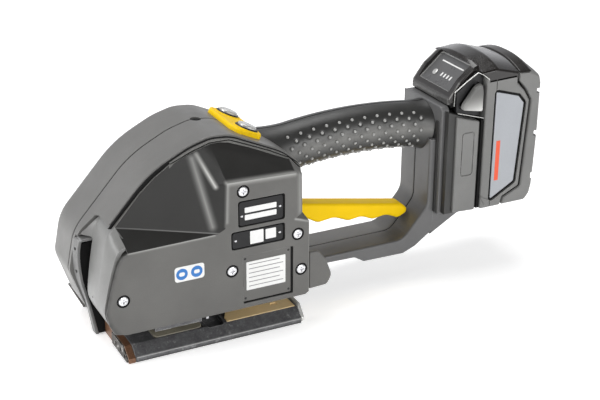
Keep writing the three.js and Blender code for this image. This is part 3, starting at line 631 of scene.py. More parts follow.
def grip_studs(side):
    """Small domes standing in the rings on the flank, coloured a lighter grey as a painted highlight."""
    profile = [(1.3, -0.9), (1.3, 0.1), (1.1, 0.5), (0.65, 0.8), (0.05, 0.85)]
    row_step = math.degrees(DOT["row"] / GRIP["radius"])
    studs = []
    for row in range(int((DOT["top"] - DOT["bottom"]) / row_step) + 1):
        angle = DOT["bottom"] + row * row_step
        x = DOT["x0"] + (DOT["pitch"] / 2 if row % 2 else 0)
        while x <= DOT["x1"]:
            foot = grip_place(x, angle, 0, side)
            out = (grip_place(x, angle, 1, side) - foot).normalized()
            across = out.orthogonal().normalized()
            other = out.cross(across)
            rings = []
            for radius, height in profile:
                turns = [2 * math.pi * k / 10 for k in range(10)]
                rings.append([tuple(foot + out * height + radius * (math.cos(t) * across + math.sin(t) * other))
                              for t in turns])
            studs.append(skin(rings))
            x += DOT["pitch"]
    return joined(*studs)


# The grip's dark rubber, with a painted highlight band along the middle of each flank, where the bright floor is
# reflected.
MATERIALS["grip"] = material(
    "grip_rubber", (0.03, 0.03, 0.029), 0.36, grain=(2200, 0.3), vary=0.15, rough_vary=0.05,
    painted_light=[(grip_place(x, 4, 0, side), grip_place(x + 27, 4, 0, side), 12.0, 0.9, (0.17, 0.168, 0.16))
            for side in (-1, 1) for x in (76, 103, 130, 157, 184)])
# Painted highlight: the studs get a light grey that stands in for the highlights on the dark rubber grip.
MATERIALS["stud"] = material("grip_stud_painted_highlight", (0.34, 0.34, 0.33), 0.25, vary=0.05)


def grip_half(side):
    """A hollow half of the grip, from the seam on top round the flank to the seam below."""
    length = GRIP["x1"] - GRIP["x0"]
    steps = round(length / 0.55)
    around = round(math.pi * GRIP["radius"] / 0.55)
    rings = []
    for i in range(steps + 1):
        x = GRIP["x0"] + length * i / steps
        z = grip_axis(x)
        lean = math.atan(-2 * GRIP["sag"] * (x - GRIP["middle"]))
        outer, inner = [], []
        for j in range(around + 1):
            angle = 90 - 180 * j / around
            lip = 0.8 * max(0.0, (abs(angle) - 88) / 2)
            radius = grip_radius(x) - dot_depth(x, angle) - lip
            across = max(radius * math.cos(math.radians(angle)), SEAM)
            up = radius * math.sin(math.radians(angle))
            outer.append((x - up * math.sin(lean), side * across, z + up * math.cos(lean)))
        for j in range(9):
            angle = -90 + 180 * j / 8
            radius = GRIP["radius"] - WALL
            across = max(radius * math.cos(math.radians(angle)), SEAM)
            up = radius * math.sin(math.radians(angle))
            inner.append((x - up * math.sin(lean), side * across, z + up * math.cos(lean)))
        rings.append(outer + inner)
    return skin(rings)


for side, half in SIDES:
    build(f"grip_studs_{half}", grip_studs(side), "stud", slot="housing")
LEVER_SLOT = box(60, 96, -LEVER_HALF - 2, LEVER_HALF + 2, 50, 98)
NOSE_WELL = slab([(-41, 10), (-41, 104.9), (-19, 104.9), (-14.2, 103.2), (-8.6, 89.8), (-8.2, 86.4), (-4.6, 86.4),
                  (-4.6, 10)], -112, -60, axis="x")
SEAM_SCREW_X = 9.6
SEAM_SCREW_WELL = rod(SEAM_SCREW_X, 0, 4.3, 158.2, 170, axis="z")

build("drum_near", band(DRUM, -FLANK, -SEAM, 1.2, arc=8), "housing", slot="housing",
      nodes=["housing_near"], cuts=[NOSE_WELL, saddle_cut(), LEVER_SLOT, SEAM_SCREW_WELL])
for name, outline in (("drum_gasket", DRUM), ("loop_gasket", LOOP)):
    ring = combined(slab(inset(outline, 0.5), -1.2, 1.2), [slab(inset(outline, 2.6), -9, 9)])
    build(name, ring, "seal", slot="black_plastic")
build("drum_far", cup(DRUM, FLANK, SEAM, 7, arc=8), "housing", slot="housing",
      nodes=["housing_far"], cuts=[saddle_cut(), LEVER_SLOT, SEAM_SCREW_WELL],
      adds=[slab(SKIRT, FLANK - 6, FLANK - 0.6, 0.8)])
for side, half in SIDES:
    build(f"grip_{half}", grip_half(side), "grip", slot="housing", nodes=[f"housing_{half}"], crease=60)
    build(f"loop_{half}", cup(LOOP, side * BAR_HALF, side * SEAM, 2.2), "bar", slot="housing",
          nodes=[f"housing_{half}"],
          adds=[slab(SILL, *sorted((side * SEAM, side * BAR_HALF)), *((2.0, 0.4) if side < 0 else (0.4, 2.0)))])
SEAM_SCREW = [(0, 157), (3.6, 157), (3.6, 159.4), (3.2, 159.8), (1.7, 159.9), (1.7, 158.6), (0, 158.6)]
build("seam_screw", turned(SEAM_SCREW, SEAM_SCREW_X, 0, "z"), "black", slot="black_plastic")

# ---------------------------------------------------------------- side cover
RIM_LINE = [
    (-74.4, 105), (-66, 114), (-53.9, 127), (-42, 137.3), (-29.7, 145.6), (-12, 152.9), (2.4, 157.3), (18, 157),
    (34.9, 149.9), (52, 142.3), (68.4, 133.8), (77, 124.5),
]


def smooth_path(points, per=4):
    """A Catmull-Rom curve through the points."""
    ends = [points[0], *points, points[-1]]
    path = []
    for i in range(1, len(ends) - 2):
        p0, p1, p2, p3 = (np.array(p, float) for p in ends[i - 1:i + 3])
        for k in range(per):
            t = k / per
            path.append(tuple(0.5 * (2 * p1 + (p2 - p0) * t + (2 * p0 - 5 * p1 + 4 * p2 - p3) * t ** 2
                                     + (3 * p1 - p0 - 3 * p2 + p3) * t ** 3)))
    return path + [tuple(points[-1])]


# The nose's front line where it meets the face of the side cover, and at its widest, towards the seam.
NOSE_LOW = [
    (-83, 24.5), (-87.4, 33), (-89.8, 43), (-87.2, 56), (-82.6, 72.5), (-79.2, 82.5), (-75.6, 87.8), (-70.5, 89.4),
]
NOSE_HIGH = [
    (-83, 24.5), (-87.4, 33), (-90.2, 43), (-88.6, 58), (-85.4, 76), (-82.8, 88), (-79.8, 98.5), (-74.4, 104.8),
]


def plane(p, q, r):
    """The plane through three (x, y, z) points as a function giving y at (x, z)."""
    normal = (Vector(q) - Vector(p)).cross(Vector(r) - Vector(p))
    return lambda x, z: p[1] - (normal.x * (x - p[0]) + normal.z * (z - p[2])) / normal.y


def cover_places():
    """The named corners of the side cover's faceted skin."""
    slope = plane((-74.4, RIM, 105), (-12, RIM, 152.9), (2.5, FACE, 90.1))
    roof = plane((2.4, RIM, 157.3), (77, RIM, 124.5), (9, FACE, 130))
    bottom = [(-74, 22), (-84, 24.5), (-87.6, 33), (-89.4, 43), (-86.3, 56), (-81.6, 73), (-78.3, 82.5),
              (-74.8, 87.2), (-70.5, 89.2)]
    places = {f"b{i}": (x, FACE, z) for i, (x, z) in enumerate(bottom)}
    places.update({
        "toe": (0.5, FACE, 90.1), "left_low": (7.2, FACE, 93.5), "left_high": (9, FACE, 130),
        "right_high": (66, FACE, 128.2), "right_step": (66.4, FACE, 90.4), "step_out": (78.2, FACE, 85.4),
        "right_low": (78.2, FACE, 24), "end_low": (75, FACE, 22),
        "chamfer_high": (74.2, -54.5, 124), "chamfer_low": (74.6, -54.5, 91.6),
        "ridge_top": (-14, RIM - 1.4, 149), "ridge_foot": (-3.5, FACE + 1.9, 94),
        "fan_top": (-7.5, RIM - 0.6, 153.2), "fan_foot": (0.6, FACE + 4.6, 127.5),
    })
    for i, (x, z) in enumerate(RIM_LINE):
        level = slope(x, z) if x < -5 else roof(x, z)
        places[f"r{i}"] = (x, min(max(level, RIM - 0.8), RIM + 1.5), z)
    return places


BOTTOM_NAMES = [f"b{i}" for i in range(9)]
RIM_NAMES = [f"r{i}" for i in range(12)]
# The faces of the slopes take the darker grey of painted shade.
COVER_FACES = [
    ("cover", [*BOTTOM_NAMES, "toe", "left_low", "left_high", "right_high", "right_step", "step_out", "right_low",
               "end_low"]),
    ("cover_painted_shade", ["b8", "r0", "toe"]),
    ("cover_painted_shade", ["toe", "r0", "ridge_foot"]),
    ("cover_painted_shade", [*RIM_NAMES[:5], "ridge_top", "ridge_foot"]),
    ("cover_painted_shade", ["r4", "r5", "fan_top", "ridge_top"]),
    ("cover_painted_shade", ["ridge_top", "fan_top", "fan_foot", "ridge_foot"]),
    ("cover_painted_shade", ["ridge_foot", "fan_foot", "left_high", "left_low"]),
    ("cover_painted_shade", ["ridge_foot", "left_low", "toe"]),
    ("cover_painted_shade", ["r5", "r6", "left_high", "fan_foot", "fan_top"]),
    ("cover_painted_shade", [*RIM_NAMES[6:11], "right_high", "left_high"]),
    ("cover", ["r10", "r11", "chamfer_high", "right_high"]),
    ("cover", ["right_high", "chamfer_high", "chamfer_low", "right_step"]),
    ("cover", ["right_step", "chamfer_low", "step_out"]),
]
COVER_BORDER = [*BOTTOM_NAMES, *RIM_NAMES, "chamfer_high", "chamfer_low", "step_out", "right_low", "end_low"]
# The rounding of each edge of the skin.
COVER_EDGES = {
    ("ridge_top", "ridge_foot"): 4.0, ("fan_top", "fan_foot"): 2.4, ("left_low", "left_high"): 2.6,
    ("left_high", "right_high"): 2.6, ("toe", "left_low"): 2.2, ("b8", "toe"): 1.4, ("r0", "toe"): 0.5,
    ("right_high", "right_step"): 2.2, ("right_high", "chamfer_high"): 1.6, ("right_step", "step_out"): 1.2,
    ("r5", "fan_top"): 1.0, ("step_out", "right_low"): 1.4, ("right_low", "end_low"): 1.4,
    ("end_low", "b0"): 1.2, ("fan_foot", "left_high"): 1.6, ("r10", "right_high"): 1.6,
    **{edge: 1.2 for edge in zip(BOTTOM_NAMES, BOTTOM_NAMES[1:])},
    **{edge: 0.7 for edge in zip(RIM_NAMES, RIM_NAMES[1:])},
    ("b8", "r0"): 0.8, ("r11", "chamfer_high"): 0.8, ("chamfer_high", "chamfer_low"): 1.0,
}


def nose_room():
    """What the nose cover takes out of the side cover's edge."""
    rings = []
    for y, share in ((-56.8, 0.21), (-45, 1), (-38, 1)):
        inner = [(x + WALL + 0.3, z - 1.6) for x, z in smooth_path(between(NOSE_LOW, NOSE_HIGH, share))]
        rings.append([(x, y, z) for x, z in [*inner, (-110, inner[-1][1]), (-110, inner[0][1] - 10)]])
    return skin(rings)


def cover_shape(places):
    names = list(places)
    index = {n: i for i, n in enumerate(names)}
    points = [places[n] for n in names]
    start, count = len(points), len(COVER_BORDER)
    points += [(places[n][0], COVER_BACK, places[n][2]) for n in COVER_BORDER]
    faces = [tuple(index[n] for n in names) for _, names in COVER_FACES]
    for i in range(count):
        j = (i + 1) % count
        faces.append((index[COVER_BORDER[i]], index[COVER_BORDER[j]], start + j, start + i))
    return points, faces + [tuple(range(start, start + count))]


PLATES = {
    "name_plate": (18.5, 55, 93, 112.5),
    "marking_plate": (12.5, 55, 75, 88),
    "safety_label": (-35, -11, 57, 69.5),
}
SCREWS = [(22, 121), (68, 76.5), (71, 45.5), (12, 56.5), (-76, 51)]
RECESS_DEPTH = 1.5
SCREW_SEAT = 5.3
SCREW_HEAD = 3.9


def recess(name):
    """The outline of the recess that one of the two black plates lies in."""
    x0, x1, z0, z1 = PLATES[name]
    return plate_outline(x0 - 0.9, x1 + 2.0, z0 - 1.3, z1 + 0.9, 2.0)


DATA_RECESS = plate_outline(21, 64, 26.2, 67, 0.8)


def cover_pockets():
    pockets = [(recess("name_plate"), RECESS_DEPTH), (recess("marking_plate"), RECESS_DEPTH), (DATA_RECESS, 1.0)]
    pockets = [slab(outline, FACE - 1, FACE + depth) for outline, depth in pockets]
    return pockets + [rod(x, z, SCREW_SEAT, FACE - 1, FACE + 1.4) for x, z in SCREWS]


# What is hollowed out behind the cover's skin.
COVER_ROOMS = [
    slab([(-55, 24), (-55, 100), (-48, 122), (-26, 138), (2, 150), (18, 150), (66, 127), (74, 118), (74, 24)],
         RIM + 3, COVER_BACK + 1),
    slab([(-54, 24), (-54, 80), (10, 82), (13, 122), (64, 122), (66, 88), (74, 84), (74, 24)],
         FACE + WALL, RIM + 4),
    box(-100, -55, FACE + WALL, COVER_BACK + 1, 0, 85),
    box(-54, 73, FACE + WALL, COVER_BACK + 1, 15, 30),
]
# The rim of the cover reaches out to the band of the housing along the top.
COVER_LEDGE = combined(slab(inset(DRUM, 1.7), RIM + 0.8, COVER_BACK - 0.3, 0.6),
                       [box(-30, 79.5, -60, -30, 112, 170)], "INTERSECT")
RIM_SHAPE = [*RIM_LINE, (75, 80), (-60, 80)]
RIM_GROOVE = combined(slab(inset(RIM_SHAPE, -1.1), -52, RIM + 3.4),
                      [slab(inset(RIM_SHAPE, -0.15), -62, -30), box(-100, 100, -62, -30, 60, 98)])


def side_cover():
    """The faceted cover: its slopes carry a darker grey as painted shade, its face doesn't."""
    places = cover_places()
    piece = mesh_object("side_cover", cover_shape(places))
    kinds = ["cover", "cover_painted_shade"]
    for kind in kinds:
        piece.data.materials.append(MATERIALS[kind])
    for polygon, (kind, _) in zip(piece.data.polygons, COVER_FACES):
        polygon.material_index = kinds.index(kind)
    weighted_bevel(piece, places, COVER_EDGES)
    boolean(piece, [COVER_LEDGE], "UNION")
    boolean(piece, [*COVER_ROOMS, RIM_GROOVE, nose_room(), *cover_pockets()])
    dress(piece, None, crease=30)
    register(piece, nodes=["side_cover"])


side_cover()
build("cover_seal", slab(inset(DRUM, 1.0), COVER_BACK - 1.6, COVER_BACK + 0.1, 0.4), "seal", slot="black_plastic",
      nodes=["cover_gasket"],
      cuts=[slab(inset(DRUM, 6.5), -60, -30), box(-120, 120, -60, -30, 0, 103)])


def plate_piece(name, y_front, y_back, radius, finish, edge=0.3, **settings):
    x0, x1, z0, z1 = PLATES[name]
    return build(name, slab(plate_outline(x0, x1, z0, z1, radius), y_front, y_back, edge, 0), finish,
                 nodes=[name], **settings)


def strip(name, x0, x1, z0, z1, y=None, finish="label", radius=0.6, lift=0.25):
    """A thin printed patch; a plate's own face is where no y is given."""
    y = PLATE_FACE if y is None else y
    return build(name, slab(plate_outline(x0, x1, z0, z1, radius), y - lift, y + 0.3, 0.1, 0), finish, slot="label")


def rivets(name, spots, y, radius, finish, slot):
    profile = [(0, y + 0.5), (radius, y + 0.5), (radius, y - 0.1), (0.7 * radius, y - 0.45), (0, y - 0.55)]
    for i, (x, z) in enumerate(spots):
        build(f"{name}_rivet_{i + 1}", turned(profile, x, z), finish, slot=slot)


PLATE_FACE = FACE - 0.1
plate_piece("name_plate", PLATE_FACE, FACE + 1.2, 2.0, "plate", slot="black_plastic")
strip("name_plate_strip_1", 23, 49.5, 103.2, 107.6)
strip("name_plate_strip_2", 23, 49.5, 97.2, 101.6)
rivets("name_plate", [(20.6, 101), (52.6, 103.5)], PLATE_FACE, 1.1, "steel", "steel")
plate_piece("marking_plate", PLATE_FACE, FACE + 1.2, 2.0, "plate", slot="black_plastic")
strip("marking_window_1", 27.2, 38.4, 76.4, 87.2)
strip("marking_window_2", 40.2, 49, 78, 86.4)
rivets("marking_plate", [(15.2, 81.5), (52.3, 81.5)], PLATE_FACE, 1.1, "steel", "steel")
# Painted shade: black floors in the plates' recesses stand in for the shadow in the gap round each plate.
SHADE_FLOORS = [(name, recess(name), RECESS_DEPTH - 0.3, RECESS_DEPTH + 0.3) for name in ("name_plate", "marking_plate")]
for name, outline, near, far in [*SHADE_FLOORS, ("data_plate", DATA_RECESS, 0.9, 1.3)]:
    build(f"{name}_seat", slab(inset(outline, 0.05), FACE + near, FACE + far), "seal", slot="black_plastic")
build("data_plate_bed", slab(plate_outline(21.4, 62, 27.6, 66.6, 0.6), FACE + 0.7, FACE + 1.25, 0.2, 0), "cover",
      slot="cover")
build("data_plate", slab(plate_outline(24, 57.4, 37, 61.2, 0.6), FACE + 0.3, FACE + 1.4, 0.15, 0), "label",
      slot="label", nodes=["data_plate"])
for i in range(6):
    z = 40 + 3.7 * i
    strip(f"data_plate_rule_{i + 1}", 26, 55.4 - 3 * (i % 2), z, z + 0.7, FACE + 0.3, "ink", 0.2, 0.05)
rivets("data_plate", [(x, z) for z in (64.2, 30.2) for x in (23.2, 60.2)], FACE + 1.0, 1.25, "black", "black_plastic")
plate_piece("safety_label", FACE - 0.15, FACE + 0.6, 2.4, "label", 0.1, slot="label")
for i, x in enumerate([-29.2, -17.2]):
    ring = turned([(0, FACE - 0.05), (4.7, FACE - 0.05), (4.7, FACE - 0.2), (0, FACE - 0.22)], x, 63.2)
    build(f"safety_label_disc_{i + 1}", ring, "blue", slot="label")
    spot = slab(plate_outline(x - 2.3, x + 2.3, 61.6, 64.8, 1.4), FACE - 0.26, FACE - 0.1)
    build(f"safety_label_mark_{i + 1}", spot, "label", slot="label")


def cross_recess(x, z, face, reach=2.2, half=0.55, depth=1.0):
    return [box(x - reach, x + reach, face - 2, face + depth, z - half, z + half),
            box(x - half, x + half, face - 2, face + depth, z - reach, z + reach)]


for i, (x, z) in enumerate(SCREWS):
    face = FACE + 0.1
    head = [(0, face + 1.3), (SCREW_HEAD, face + 1.3), (SCREW_HEAD, face + 0.2), (SCREW_HEAD - 0.5, face - 0.4),
            (2, face - 0.8), (0, face - 0.95)]
    build(f"cover_screw_{i + 1}", turned(head, x, z), "bright", slot="steel", nodes=[f"cover_screw_{i + 1}"],
          cuts=cross_recess(x, z, face), crease=45)
    seat = [(SCREW_HEAD + 0.1, face + 1.3), (SCREW_SEAT - 0.05, face + 1.3), (SCREW_SEAT - 0.05, face),
            (SCREW_SEAT - 0.4, face - 0.45), (SCREW_HEAD + 0.1, face - 0.2)]
    rings = [[(x + r * math.cos(t), y, z + r * math.sin(t)) for t in np.linspace(0, 2 * math.pi, 36, False)]
             for r, y in seat]
    build(f"screw_seat_{i + 1}", skin(rings, closed=True), "seal", slot="black_plastic")

# ---------------------------------------------------------------- nose cover and front guard


def nose_cover():
    """A curved wall from the cover's face to the seam; sections are Y, share of NOSE_HIGH, sink and flare."""
    rings = []
    sections = [(-56.6, 0.227, 0, 0), (-50, 0.667, 0, 0), (-45, 1, 0, 0), (-42, 1, 0, 0), (-18, 1, 0, 0),
                (-16.3, 1, 0.6, 0), (-15.9, 1, 1.0, 0.6), (-8.8, 1, 0, 7.4)]
    for y, share, sink, flare in sections:
        front = smooth_path(between(NOSE_LOW, NOSE_HIGH, share))
        outer = [(x + sink - flare * ramp(NOSE_HIGH[-1][1] - z, 0, 17), z) for x, z in front]
        inner = [(x + WALL, z - 0.4 * WALL) for x, z in reversed(outer)]
        rings.append([(x, y, z) for x, z in outer + inner])
    return skin(rings)


NOSE_BACK = [
    slab([(-15.8, 0), (-16.4, 44), (-16, 86.5, 2), (-8.9, 87.5), (-4, 87.5), (-4, 0)], -110, -50, axis="x"),
    slab([(-8.9, 86), (-9.2, 89.6, 2), (-14.6, 102.6, 1), (-20, 104.2), (-20, 120), (-4, 120), (-4, 86)], -110, -50,
         axis="x"),
]
build("nose_cover", nose_cover(), "nose", slot="cover", nodes=["nose_cover"], crease=42,
      cuts=[rod(-30, 44, 0.9, -100, -80, axis="x", sides=16), *NOSE_BACK], bevel=0.4)

# The front guard's outer line at the seam and at its other edge, towards the strap side.
GUARD_EDGES = [
    [(-91, 84.6), (-94.6, 82.8), (-96.4, 72), (-96, 55), (-91.8, 38), (-88.7, 27), (-84.6, 1)],
    [(-88.6, 84.2), (-92.4, 82.4), (-94.6, 69), (-93.4, 50), (-91.6, 41), (-88.2, 25), (-83.8, 0.6)],
]
GUARD_THICK = 2.4


def guard_flange():
    """The bent strip, running from the seam towards the strap side and back into the nose."""
    rings = []
    for share in (0, 0.06, 0.5, 0.94, 1):
        y = -4.9 - 6.6 * share
        round_over = 0.5 if share in (0, 1) else 0.0
        outer = [(x + round_over, z) for x, z in smooth_path(between(*GUARD_EDGES, share))]
        inner = [(x + GUARD_THICK - 2 * round_over, z - 0.2) for x, z in reversed(outer)]
        rings.append([(x, y, z) for x, z in outer + inner])
    return skin(rings)


build("front_guard", guard_flange(), "guard", slot="dark_steel", nodes=["front_guard"],
      cuts=[rod(-8.2, z, 1.4, -110, -85, axis="x", sides=24) for z in (76, 57)])
# Painted shade: the web deep between the guard's flange and the nose is black, standing in for the shade in that
# recess.
GUARD_WEB = [(-90, 80), (-93, 66), (-89.6, 40), (-84.2, 5), (-82.4, 0.5), (-71, 0.5), (-76, 12), (-84, 30), (-80, 82)]
build("guard_web", slab(GUARD_WEB, -10.6, -7.4, 0.4), "seal", slot="black_plastic", nodes=["front_guard"])
GUARD_TOP = [(-92.4, 83.6, 0.6), (-91.6, 85.6, 0.6), (-80.6, 85.9, 0.6), (-80.6, 83.6, 0.6)]
build("guard_top", slab(GUARD_TOP, -15.2, -5.2, 0.4), "guard", slot="dark_steel", nodes=["front_guard"])

# ---------------------------------------------------------------- foot
FOOT_TOP = FOOT_HIGH.z
FOOT_SECTION = [(FOOT_LOW.y, 0, 0.6), (FOOT_LOW.y, 3.9, 0.8), (FOOT_LOW.y + 9.6, FOOT_TOP, 1.5),
                (FOOT_HIGH.y, FOOT_TOP, 1), (FOOT_HIGH.y, 0, 1)]
FOOT_POCKETS = [
    box(-51.4, -10.6, -54.4, -33, 7.7, 14), box(8.7, 68.3, -55.4, -33, 7.7, 14),
    slab([(-8, -56.5, 2), (6, -56.5, 2), (8, -34), (-8, -34)], FOOT_TOP - 4, FOOT_TOP + 2, axis="z"),
]
build("base_plate", slab(FOOT_SECTION, FOOT_LOW.x - 1.2, FOOT_HIGH.x, 0.4, axis="x"), "foot", slot="dark_steel",
      nodes=["base_plate"], cuts=FOOT_POCKETS, bevel=0.25)
build("base_plate_end", slab(FOOT_SECTION, FOOT_LOW.x - 7, FOOT_LOW.x - 1.4, 0.5, axis="x"), "burnt",
      slot="dark_steel", nodes=["base_plate"], bevel=0.25)
ANVIL_TOP = FOOT_TOP + 0.3
WELD_ANVIL = [(-51, -54, 5), (-11, -54, 5), (-11, -34), (-51, -34)]
FEED_ANVIL = [(9, -55, 0.6), (68, -55, 0.6), (68, -34), (17, -34), (9, -49)]
build("weld_anvil", slab(WELD_ANVIL, 8, ANVIL_TOP, 0, 0.5, axis="z"), "anvil", slot="dark_steel",
      nodes=["weld_anvil"])
build("feed_anvil", slab(FEED_ANVIL, 8, ANVIL_TOP, 0, 0.35, axis="z"), "brass", slot="brass", nodes=["feed_anvil"],
      cuts=[slab([(50, -46), (52, -43), (56, -43), (58, -46)], 10, 13, axis="z")])
END_SECTION = [(-64.2, 0.8, 1.2), (-64.2, 4, 1.5), (-55, 11, 2), (-30, 11, 1), (-30, 0.8, 1)]
build("front_edge_plate", slab(END_SECTION, FOOT_LOW.x - 8.4, FOOT_LOW.x - 7.1, 0.5, 0.2, axis="x"), "edge_plate",
      slot="steel", nodes=["front_edge_plate"],
      cuts=[rod(y, z, 1.7, -80, -74.5, axis="x", sides=24) for y, z in ((-59.6, 4.3), (-51, 6.2), (-40, 6.2))])
REAR_SECTION = [(-64.6, 0.6, 1.5), (-64.8, 4.4, 1.5), (-56.5, 13.5, 3), (-38, 13.5, 1), (-38, 0.6, 1)]
build("rear_edge_plate", slab(REAR_SECTION, FOOT_HIGH.x + 0.2, FOOT_HIGH.x + 2.8, 0.6, axis="x"), "trim",
      slot="steel", nodes=["rear_edge_plate"])
REAR_GUARD = [(78.6, 25.6, 1), (78.6, 57.8, 1), (86.8, 57.6, 4), (93.5, 49, 8), (99, 34, 8), (94.5, 26.4, 4)]
build("rear_guard", slab(REAR_GUARD, -59.6, -55.8, 1.2), "cover", slot="cover", nodes=["rear_guard"])

# ---------------------------------------------------------------- button panel
PANEL_OUTLINE = [
    (-15.5, -20.5, 3), (-11, -28.5, 4), (9, -28.5, 4), (13, -20.5, 3), (13, 20.5, 3), (9, 28.5, 4), (-11, 28.5, 4),
    (-15.5, 20.5, 3),
]
BUTTON_Y = 18.0
BUTTON_RADIUS = 7.6


def ring_shape(profile, u, v, sides=40):
    """A closed ring of revolution about a line out of the panel; profile is (radius, height) pairs."""
    return skin([[(u + r * math.cos(t), v + r * math.sin(t), h) for t in np.linspace(0, 2 * math.pi, sides, False)]
                 for r, h in profile], closed=True)


build("button_panel", on_panel(slab(PANEL_OUTLINE, -2.6, 2.4, 0.2, 1.5, axis="z")), "yellow", slot="yellow",
      nodes=["button_panel"], crease=45,
      adds=[on_panel(rod(0, s * BUTTON_Y, BUTTON_RADIUS + 3.4, 1, 3.0, 0.6, axis="z", sides=48)) for s in (-1, 1)],
      cuts=[on_panel(rod(0, s * BUTTON_Y, BUTTON_RADIUS + 2.0, -4, 6, axis="z", sides=48)) for s in (-1, 1)])
for s, job in ((-1, "tension"), (1, "weld")):
    seal = [(BUTTON_RADIUS + 0.25, -2.4), (BUTTON_RADIUS + 1.85, -2.4), (BUTTON_RADIUS + 1.85, 3.1),
            (BUTTON_RADIUS + 1.1, 4.0), (BUTTON_RADIUS + 0.25, 3.7)]
    build(f"{job}_button_ring", on_panel(ring_shape(seal, 0, s * BUTTON_Y)), "black", slot="black_plastic",
          nodes=[f"{job}_button_ring"])
    cap = [(0, -2.2), (7.7, -2.2), (7.7, 4.6), (7.4, 5.3), (6.5, 5.8), (5.2, 6.0), (3.0, 5.8), (0, 5.6)]
    build(f"{job}_button", on_panel(turned(cap, 0, s * BUTTON_Y, "z", 40)), "button", f"{job}_button", "button",
          [f"{job}_button"], crease=50)

# ---------------------------------------------------------------- lever
LEVER = {"x": 30.0, "z": 82.0, "slope": -0.193}


def lever_top(x):
    return LEVER["z"] + 6 + LEVER["slope"] * (x - LEVER["x"])


def lever_outline():
    """The finger waves under the lever hang below its straight top; each is x, drop and rounding."""
    waves = [(60, 12.5, 8), (98, 11.5, 8), (113, 17.4, 9), (128.5, 12.6, 14), (142, 15.8, 9), (154.5, 11.8, 14),
             (165.5, 14.6, 9), (178.6, 10.2, 14), (190, 13.4, 6)]
    under = [(x, lever_top(x) - drop, radius) for x, drop, radius in reversed(waves)]
    top = [(36, lever_top(36), 6), (194, lever_top(194), 9), (201.5, lever_top(201.5) - 6, 5)]
    return [(21, 78, 4), (21, 89, 5), *top, *under]


build("lever", slab(lever_outline(), -LEVER_HALF, LEVER_HALF, 2.6, arc=8), "yellow", "lever", "yellow", ["lever"],
      cuts=[rod(LEVER["x"], LEVER["z"], 4.2, -LEVER_HALF - 1, LEVER_HALF + 1)], crease=50)

# ---------------------------------------------------------------- battery receiver
RECEIVER = {"x0": 215.0, "plate": 222.2, "x1": 247.0, "half": 38.0}
RECEIVER_BODY = [(225, 54, 1), (225, 139.5, 1), (RECEIVER["x1"], 133, 1), (RECEIVER["x1"], 52.8, 1)]
FRONT_PLATE = [(-30, 51, 2), (30, 51, 2), (30, 147, 5), (-30, 147, 5)]
PLAQUE = plate_outline(231.3, 241.7, 86.9, 124.1, 1.9)


def flank(side, inner, outer):
    """The two ends of a stretch of Y between inner and outer on one side, lowest first."""
    return sorted((side * inner, side * outer))


def plaque_groove(side):
    ring = slab(inset(PLAQUE, -0.9), *flank(side, RECEIVER["half"] - 0.9, RECEIVER["half"] + 2))
    return combined(ring, [slab(PLAQUE, *flank(side, 20, 60))])


build("battery_receiver", slab(RECEIVER_BODY, -RECEIVER["half"], RECEIVER["half"], 1.2), "pack", slot="housing",
      nodes=["battery_receiver"], cuts=[box(231, 249, -28, 28, 60, 150), plaque_groove(-1), plaque_groove(1)],
      bevel=0.2)
build("receiver_core", slab([(218, 52.8), (218, 144), (233, 138), (233, 52.8)], -35.5, 35.5, 0.5), "core",
      slot="black_plastic", nodes=["battery_receiver"], cuts=[box(230.6, 249, -28, 28, 60, 150)])
build("receiver_front_plate", slab(FRONT_PLATE, RECEIVER["x0"], RECEIVER["plate"], 1.2, axis="x"), "bar",
      slot="housing", nodes=["battery_receiver"], bevel=0.2)
for s, half in SIDES:
    rear = RECEIVER["x1"]
    for job, shape, finish in (
        # Painted shade: a dark grey filler where the front plate's end lies in shadow beside the post.
        ("joint", box(213.9, 216.6, *flank(s, 22.4, 26.4), 53, 134, 0.3), "core"),
        ("rail", box(rear - 4.8, rear - 0.2, *flank(s, 21, 28.4), 62, 130, 0.4), "black"),
        ("lip", box(rear - 2, rear + 1.6, *flank(s, 28.6, 36.4), 54, 131, 0.3), "seal"),
    ):
        build(f"receiver_{job}_{half}", shape, finish, slot="black_plastic", nodes=["battery_receiver"])

# ---------------------------------------------------------------- battery pack
CASE_FRONT = 252.4
CASE = [
    (CASE_FRONT, 52, 2), (CASE_FRONT, 168.6, 3), (282.9, 169.6, 1), (282.9, 161.2, 1), (290.4, 153.5, 2),
    (296.2, 144, 2), (291.4, 67.3, 3), (274.9, 59.6, 1.5), (273, 52, 1),
]
TAIL = [
    (274.9, 52, 1), (276.6, 58.8, 1), (293.2, 66.4, 3), (298.3, 144.2, 2), (292.1, 154.5, 2), (284.8, 162, 1),
    (284.8, 169.6, 1), (295, 169.7, 6), (304.9, 164.6, 5), (306.9, 158, 3), (307, 115), (305.7, 78, 3),
    (305.2, 66, 4), (303.5, 58, 5), (299, 52, 4),
]
LABEL = [(262.6, 155.8, 1), (284.8, 149.2, 2), (290.6, 142.4, 2), (285.6, 72.4, 2), (262.6, 59.6, 1)]
CROWN = 9.0  # how far the middle of the top rises over the flanks
CROWN_POWER = 2.4  # the higher, the flatter the middle of the arch
BLACK_ABOVE = 168.8


def crowned(shape):
    """Points high up rise away from both flanks, which arches the top."""
    points, faces = shape
    arch = [CROWN * ramp(x, 236, 14) * ramp(z, 158, 12) * (1 - (abs(y) / 38.0) ** CROWN_POWER) for x, y, z in points]
    return [(x, y, z + rise) for (x, y, z), rise in zip(points, arch)], faces


def pack_seam(x):
    ring = slab([(x - 0.45, 40), (x + 0.45, 40), (x + 0.45, 190), (x - 0.45, 190)], -60, 60)
    keep = slab([(x - 2, 53.2), (x + 2, 53.2), (x + 2, 168), (x - 2, 168)], -PACK_HALF + 1.3, PACK_HALF - 1.3)
    return combined(ring, [keep])


